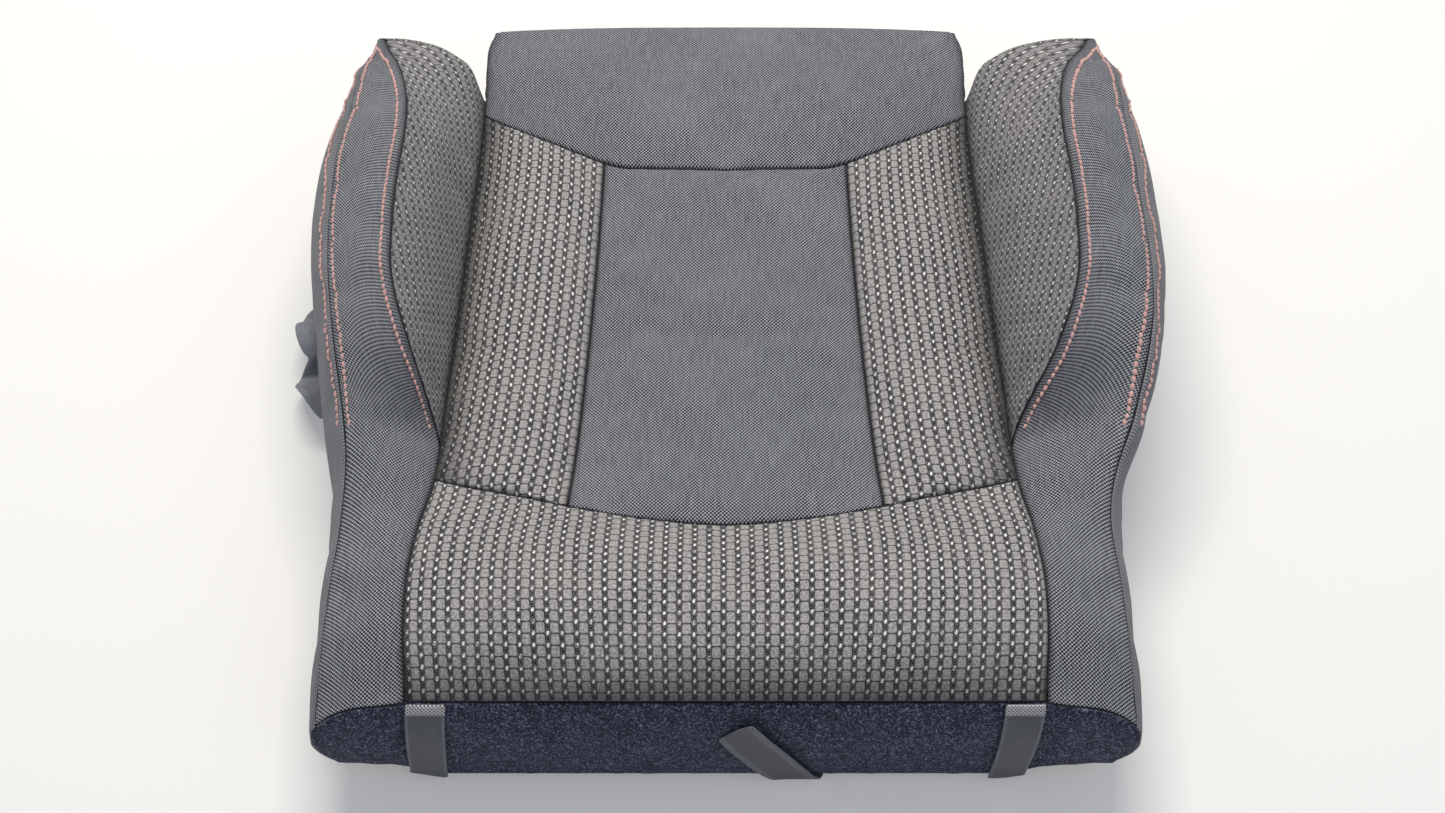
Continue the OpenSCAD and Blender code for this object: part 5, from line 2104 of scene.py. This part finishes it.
@dataclass
class Straps:
    """The two webbing straps on the band, the loose centre strap and the dust-cloth flap."""

    width: float = 24
    thick: float = 1.6
    place_x: float = 180
    lean: dict[Side, float] = field(default_factory=lambda: {Side.LEFT: 12.0, Side.RIGHT: 2.0})
    tab_w: float = 30
    gap: float = 0.4
    reach: float = 1.09
    rows: int = 36
    tuck_under: float = 60
    fall: float = 22
    shares: tuple[float, ...] = (0, 0.05, 0.14, 0.28, 0.42, 0.5, 0.58, 0.72, 0.86, 0.95, 1)

    def weave(self, grid: Grid, width: float, start: float = 0.0) -> Cloth:
        """Flat cloth places of a strap.

        Args:
            grid: Points of the strap in millimetres.
            width: Its width in millimetres.
            start: Where its length is counted from, in metres.

        Returns:
            Width and length of each point, in metres.
        """
        runs = turned(arc_rows(turned(grid)))
        return [
            [((f - 0.5) * width / 1000, start + d / 1000) for f, d in zip(self.shares, run)] for run in runs
        ]

    def hang(
        self, ribbon: Ribbon, material: bpy.types.Material, side: Side, on: str, slot: str, node: str, **more
    ) -> None:
        """Make a ribbon and fix it to the cushion.

        Args:
            ribbon: Strap or flap.
            material: Its cloth.
            side: Half of the cushion that it is placed in.
            on: Not used.
            slot: Material slot of the record.
            node: CAD node that it replaces.
            **more: Not used.
        """
        piece = ribbon.build(material, side)
        ribbon.flat()
        dressed(piece, slot, node)

    def strap_point(self, x: float, v: float, lift: float) -> Vector:
        """Point over the fleece band, v past 1 where the strap hangs below it.

        Args:
            x: Place across in millimetres.
            v: Place downwards, 0 at the upper seam.
            lift: Distance out of the band in millimetres.

        Returns:
            The point in millimetres.
        """
        p = PAD.band_face(x / (PAD.front_w / 2), min(v, 1))
        tail = max(v - 1, 0)
        hung = Vector((0, self.tuck_under * tail * tail, -self.fall * tail))
        return p - lift * PAD.inward(p, PAD.centre_rear) + hung

    def front(self, side: Side, material: bpy.types.Material) -> None:
        """Make one of the two straps that run down the band.

        Args:
            side: Half of the cushion that it lies in.
            material: Cloth that the piece is made of.
        """
        grid: Grid = []
        for k in range(self.rows + 1):
            v = self.reach * k / self.rows
            x = self.place_x + self.lean[side] * v
            row = []
            for f in self.shares:
                wave = 0.35 * noise.noise(Vector((f * 2.1, v * 4, side.value * 3.0)))
                belly = 0.5 * bell(f) * bell(min(v, 1))
                row.append(self.strap_point(x + mix(-1, 1, f) * self.width / 2, v,
                                            self.gap + self.thick / 2 + max(wave + belly, -0.15)))
            grid.append(row)
        ribbon = Ribbon(f"{side.word}_front_webbing", grid, self.thick, self.weave(grid, self.width), 0.18)
        self.hang(ribbon, material, side, "front_fleece_pile", "webbing", f"{side.word}_front_strap")

    def centre(self, material: bpy.types.Material) -> None:
        """Make the loose strap that turns up in front of the band.

        Args:
            material: Cloth that the piece is made of.
        """
        front = PAD.lip_y + PAD.step_w - PAD.corner_drop + 0.4
        line = [Vector(p) for p in (
            (52, front, 9), (51, 20, 4), (49, 12, 1.4), (46, 5, 1.8), (43, 2, 8),
            (38, 1, 18), (32, 1, 30), (24, 2, 44), (14, 4, 60), (6, 6, 74),
        )]
        turn = [0, 0, 0, 0, 4, 10, 18, 28, 38, 46]
        steps = 54
        grid: Grid = []
        for k in range(steps + 1):
            t = k / steps
            ahead = (along(line, min(t + 1 / 18, 1)) - along(line, max(t - 1 / 18, 0))).normalized()
            ang = math.radians(along(turn, t))
            wide = Vector((math.cos(ang), 0, math.sin(ang)))
            face = ahead.cross(wide).normalized()
            wide = (wide - face * wide.dot(face)).normalized()
            curl = 1.6 * ease(t * 1.4 - 0.3)
            row = []
            for f in self.shares:
                lift = -curl * (2 * f - 1) ** 2 + 0.3 * noise.noise(Vector((f * 2, t * 7, 4)))
                lift = max(lift, -0.2) if t < 0.3 else lift
                row.append(along(line, t) + wide * (f - 0.5) * self.tab_w + face * lift)
            grid.append(row)
        ribbon = Ribbon("centre_strap_webbing", grid, self.thick, self.weave(grid, self.tab_w, 0.02), 0.12)
        self.hang(ribbon, material, Side.RIGHT, "front_fleece_pile", "webbing", "centre_strap")

    def flap(self, material: bpy.types.Material) -> None:
        """Make the crumpled edge of dust cloth that pokes out low on the left.

        Args:
            material: Cloth that the piece is made of.
        """
        steps, cols = 60, 30
        start, stop = 0.433 * PAD.pad_l + 12, 0.59 * PAD.pad_l + 20
        grid: Grid = []
        for k in range(steps + 1):
            t = k / steps
            y = mix(start, stop, t)
            root = PAD.hem(PAD.run_s(y)).x - PAD.step_w - 1.7
            clear = PAD.step_w + 4
            reach = 17 + 20 * bell(t * 1.7) ** 0.7 if t < 0.55 else 19 + 17 * bell((t - 0.45) * 1.7) ** 0.8
            rise = 24 + 12 * math.sin(2 * math.pi * 1.9 * t + math.radians(20))
            row = []
            for j in range(cols + 1):
                f = j / cols * 1.25
                w = max(f - 0.25, 0)
                x = f / 0.25 * clear if f < 0.25 else clear + w * reach
                crumple = 4.5 * noise.noise(Vector((x / 15, y / 13, 2)))
                crumple = ease(w * 2) * (crumple + 2 * noise.noise(Vector((x / 6, y / 7, 9))))
                z = 1.1 + rise * math.sin(math.radians(105 * w)) + max(crumple, -1.5)
                slide = 5 * math.sin(2 * math.pi * 1.4 * t) * w - 6 * w * (1 - t)
                row.append(Vector((root + x, y + slide, max(z, 1.1))))
            grid.append(row)
        ribbon = Ribbon("left_dust_cloth_flap", grid, 0.9, centred_cloth(grid))
        wide, tall = ribbon.flat()
        self.hang(ribbon, material, Side.LEFT, "underside_felt_sheet", "felt", "left_side_flap",
                  area=clamp(area_of(grid), 0.3 * wide * tall, wide * tall))


@dataclass
class Listing:
    """Cloth sleeves that hold the listing wires and tie the cover's seams down.

    Between two hog rings a sleeve has some steps, and each of its cross sections has
    an arc of points round the wire, outside and inside.
    """

    wire_r: float = 1.5
    gap: float = 0.3
    wall: float = 1.0
    wire_z: float = 36.0
    rings: int = 5
    half_open: float = 4.0
    steps: int = 12
    arc: int = 16

    def runs(self) -> dict[str, list[Vector]]:
        """Return the seam runs that the sleeves follow.

        Returns:
            Points in millimetres by word of the run.
        """
        front = [PAD.roll_line(mix(0.04, 0.96, k / 60)) for k in range(61)]
        rear = [PAD.rear_line(mix(0.04, 0.96, k / 60)) for k in range(61)]
        right = [PAD.valley_run(k / 50) for k in range(51)]
        return {"front": front, "rear": rear, "right": right, "left": [flipped(p) for p in right]}

    def build(self, material: bpy.types.Material) -> None:
        """Make the four sleeves, open round each hog ring.

        Args:
            material: Cloth that the piece is made of.
        """
        for word, path in self.runs().items():
            long = sum((b - a).length for a, b in zip(path, path[1:]))
            last = len(path) - 1
            cuts = [0.0]
            for k in range(self.rings):
                at = (k + 0.5) / self.rings * last
                cuts += [at - self.half_open * last / long, at + self.half_open * last / long]
            cuts.append(float(last))
            draft = Draft()
            for a, b in zip(cuts[::2], cuts[1::2]):
                places = [mix(a, b, k / self.steps) for k in range(self.steps + 1)]
                self.stretch(draft, path, places, long / last)
            piece = draft.piece(f"{word}_listing_sleeve_cloth", material)
            face_out(piece)
            dressed(piece, "plain_cloth", f"{word}_listing_sleeve")

    def stretch(self, draft: Draft, path: Sequence[Vector], places: Sequence[float], step: float) -> None:
        """Add the sleeve between two hog rings to a draft.

        Args:
            draft: Piece that takes the sleeve.
            path: Seam that the sleeve follows.
            places: Where its cross sections lie, in points of the path.
            step: Length of one step of the path in millimetres.
        """
        base, r = len(draft.verts), self.wire_r + self.gap
        turns = [math.radians(78 - 22.6 * q) for q in range(self.arc)]
        for s in places:
            i = min(int(s), len(path) - 2)
            p = mix(path[i], path[i + 1], s - i)
            ahead = path[i + 1] - path[i]
            cross = Vector((-ahead.y, ahead.x, 0)).normalized()
            top = p.z - PAD.cover_t - 1 - self.wire_z
            profile = [(0.5, top), (0.5, (top + r) / 2)]
            profile += [((r + self.wall) * math.cos(x), (r + self.wall) * math.sin(x)) for x in turns]
            profile += [(-0.5, (top + r) / 2), (-0.5, top)]
            bore = [(r * math.cos(x), r * math.sin(x)) for x in turns]
            foot = Vector((p.x, p.y, self.wire_z))
            draft.verts += [metres(foot + cross * x + Vector((0, 0, z))) for x, z in profile + bore]
            draft.cloth += [(z / 1000, s * step / 1000) for x, z in profile]
            draft.cloth += [(q / 1000, s * step / 1000) for q in range(self.arc)]
        rim, m = self.arc + 4, 2 * self.arc + 4
        sides = [(q, (q + 1) % rim) for q in range(rim)]
        sides += [(rim + (q + 1) % self.arc, rim + q) for q in range(self.arc)]
        for v in range(base, base + self.steps * m, m):
            draft.faces += [(v + a, v + m + a, v + m + b, v + b) for a, b in sides]
        for v in (base, base + self.steps * m):
            end = [(v, v + 1, v + rim - 2, v + rim - 1), (v + 1, v + 2, v + rim - 3, v + rim - 2)]
            end.append((v + 2, v + rim, v + m - 1, v + rim - 3))
            end += [(v + 2 + q, v + 3 + q, v + rim + 1 + q, v + rim + q) for q in range(self.arc - 1)]
            draft.faces += end if v == base else [face[::-1] for face in end]


# ------------------------------------------------------------------ studio
@dataclass
class Studio:
    """Pale floor, soft lamps and the camera."""

    lens_mm: float = 49.83
    place: tuple[float, float, float] = (-0.002, -0.7462, 1.2048)
    tilt_deg: float = 31.604

    def camera(self) -> None:
        """Make the camera that looks down on the cushion from the front."""
        data = bpy.data.cameras.new("camera")
        data.sensor_fit = "HORIZONTAL"
        data.sensor_width = 36.0
        data.lens = self.lens_mm
        data.clip_start = 0.05
        data.clip_end = 60.0
        made = bpy.data.objects.new("camera", data)
        made.location = self.place
        made.rotation_euler = Euler((math.radians(self.tilt_deg), 0, 0))
        bpy.context.scene.collection.objects.link(made)
        bpy.context.scene.camera = made

    def lamp(
        self, name: str, at: tuple[float, float, float], size: tuple[float, float], watts: float,
        tone: str,
    ) -> None:
        """Add a soft rectangular lamp that faces the cushion.

        Args:
            name: Name of the lamp.
            at: Its place in metres.
            size: Width and height in metres.
            watts: Power of the lamp.
            tone: Colour of its light.
        """
        data = bpy.data.lights.new(name, "AREA")
        data.shape = "RECTANGLE"
        data.size, data.size_y = size
        data.energy = watts
        data.color = linear(tone)[:3]
        made = bpy.data.objects.new(name, data)
        made.location = at
        aim = Vector((0, 0, 0.05)) - Vector(at)
        made.rotation_euler = aim.to_track_quat("-Z", "Y").to_euler()
        bpy.context.scene.collection.objects.link(made)

    def floor(self) -> None:
        """Make the pale floor, which stays white for the camera away from the shadow."""
        bpy.ops.object.select_all(action="DESELECT")
        bpy.ops.mesh.primitive_plane_add(size=14, location=(0, 0, 0))
        plane = bpy.context.object
        plane.name = "studio_floor"
        f = Finish("pale_studio_floor", "#f2f1ef")
        lay = f.add("BsdfDiffuse", "#fbfaf8", 0.5)
        glow = f.add("Emission", "#ffffff", 1.0)
        path = f.add("LightPath")
        seen = f.add("Math MAXIMUM", path.outputs["Is Camera Ray"], path.outputs["Is Glossy Ray"])
        seen = f.add("Math MAXIMUM", seen, path.outputs["Is Transmission Ray"])
        share = f.add(TIMES, seen, 0.2)
        f.add("OutputMaterial", f.add("MixShader", share, lay, glow))
        plane.data.materials.append(f.material)

    def world(self) -> None:
        """Light the room softly and evenly, white where the camera sees it."""
        world = bpy.data.worlds.new("studio")
        world.use_nodes = True
        world.node_tree.nodes.clear()
        add = partial(add_node, world.node_tree)
        soft = add("Background", "#e6ebfb", 0.38)
        white = add("Background", "#ffffff", 1.0)
        path = add("LightPath")
        seen = add("Math MAXIMUM", path.outputs["Is Camera Ray"], path.outputs["Is Transmission Ray"])
        add("OutputWorld", add("MixShader", seen, soft, white))
        bpy.context.scene.world = world

    def build(self) -> None:
        """Make the camera, the lamps, the floor and the world."""
        self.camera()
        self.lamp("key", (-0.1, 0.66, 1.85), (1.3, 0.45), 33.0, "#fffaee")
        self.lamp("fill", (0.9, -0.9, 1.6), (1.2, 1.2), 2.5, "#f1f4ff")
        self.floor()
        self.world()
        bpy.context.scene.view_settings.view_transform = "Standard"


# ------------------------------------------------------------------ assembly
def dress_rigid(material_of: dict[str, bpy.types.Material]) -> None:
    """Give the rigid CAD nodes their finishes.

    Args:
        material_of: Finish of each node.
    """
    for name, material in material_of.items():
        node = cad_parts[name]
        for k in range(len(node.material_slots)):
            node.material_slots[k].material = material
        LOG.info("%s: finish %s", name, material.name)


def main() -> None:
    """Build the studio and every sub-assembly."""
    logging.basicConfig(level=logging.INFO, format="%(name)s %(message)s")
    Studio().build()
    plain = BasketCloth().build()
    seam_cloth = DullFabric("black_seam_tape", "#131419", "#2b2c33", 0.7, 0.0004).build()
    foam = CutFoam().build()
    felt = DullFabric("needled_felt", "#2c2c2f", "#5a5a5f").build()
    dust = DullFabric("black_dust_cloth", "#545861", "#a9adb6", 0.6, 0.0003).build()
    webbing = Webbing().build()
    cover = Cover()
    cover.build({
        "patterned_cloth": JacquardCloth().build(),
        "bolster_cloth": JacquardCloth(
            name="woven_jacquard_cloth_on_bolsters", pad="#9b999b", pad_edge="#838184", ground="#1d1c20",
            rib="#7f7d80", row_mm=5.4, outline=0.35,
        ).build(),
        "plain_cloth": plain,
        "side_cloth": SideCloth().build(),
        "fleece": BrushedFleece().build(),
    })
    for node, name in (
        ("foam_core", "foam_core_block"), ("left_bolster_foam", "left_bolster_block"),
        ("right_bolster_foam", "right_bolster_block"),
    ):
        dressed(FoamBlock(node, name).build(foam), "foam", node)
    dressed(FeltSheet().build(felt), "felt", "underside_felt")
    stitching = Stitching({panel.name: panel for panel, side in cover.panels})
    thread = TwistedThread("red_polyester_thread", "#ffdcd6", "#e8a098").build()
    for side in Side:
        stitching.contrast(side, thread)
    stitching.closing_thread(seam_cloth)
    straps = Straps()
    for side in Side:
        straps.front(side, webbing)
    straps.centre(webbing)
    straps.flap(dust)
    Listing().build(plain)
    plastic, steel = ExtrudedPlastic().build(), DrawnWire().build()
    rigid = {f"{w}_hook_strip": plastic for w in ("front", "rear", "left", "right")}
    rigid |= {f"{w}_{k}_wire": steel for w in ("front", "rear", "left", "right") for k in ("listing", "tie")}
    rigid["hog_rings"] = steel
    dress_rigid(rigid)


if __name__ == "__main__":
    main()
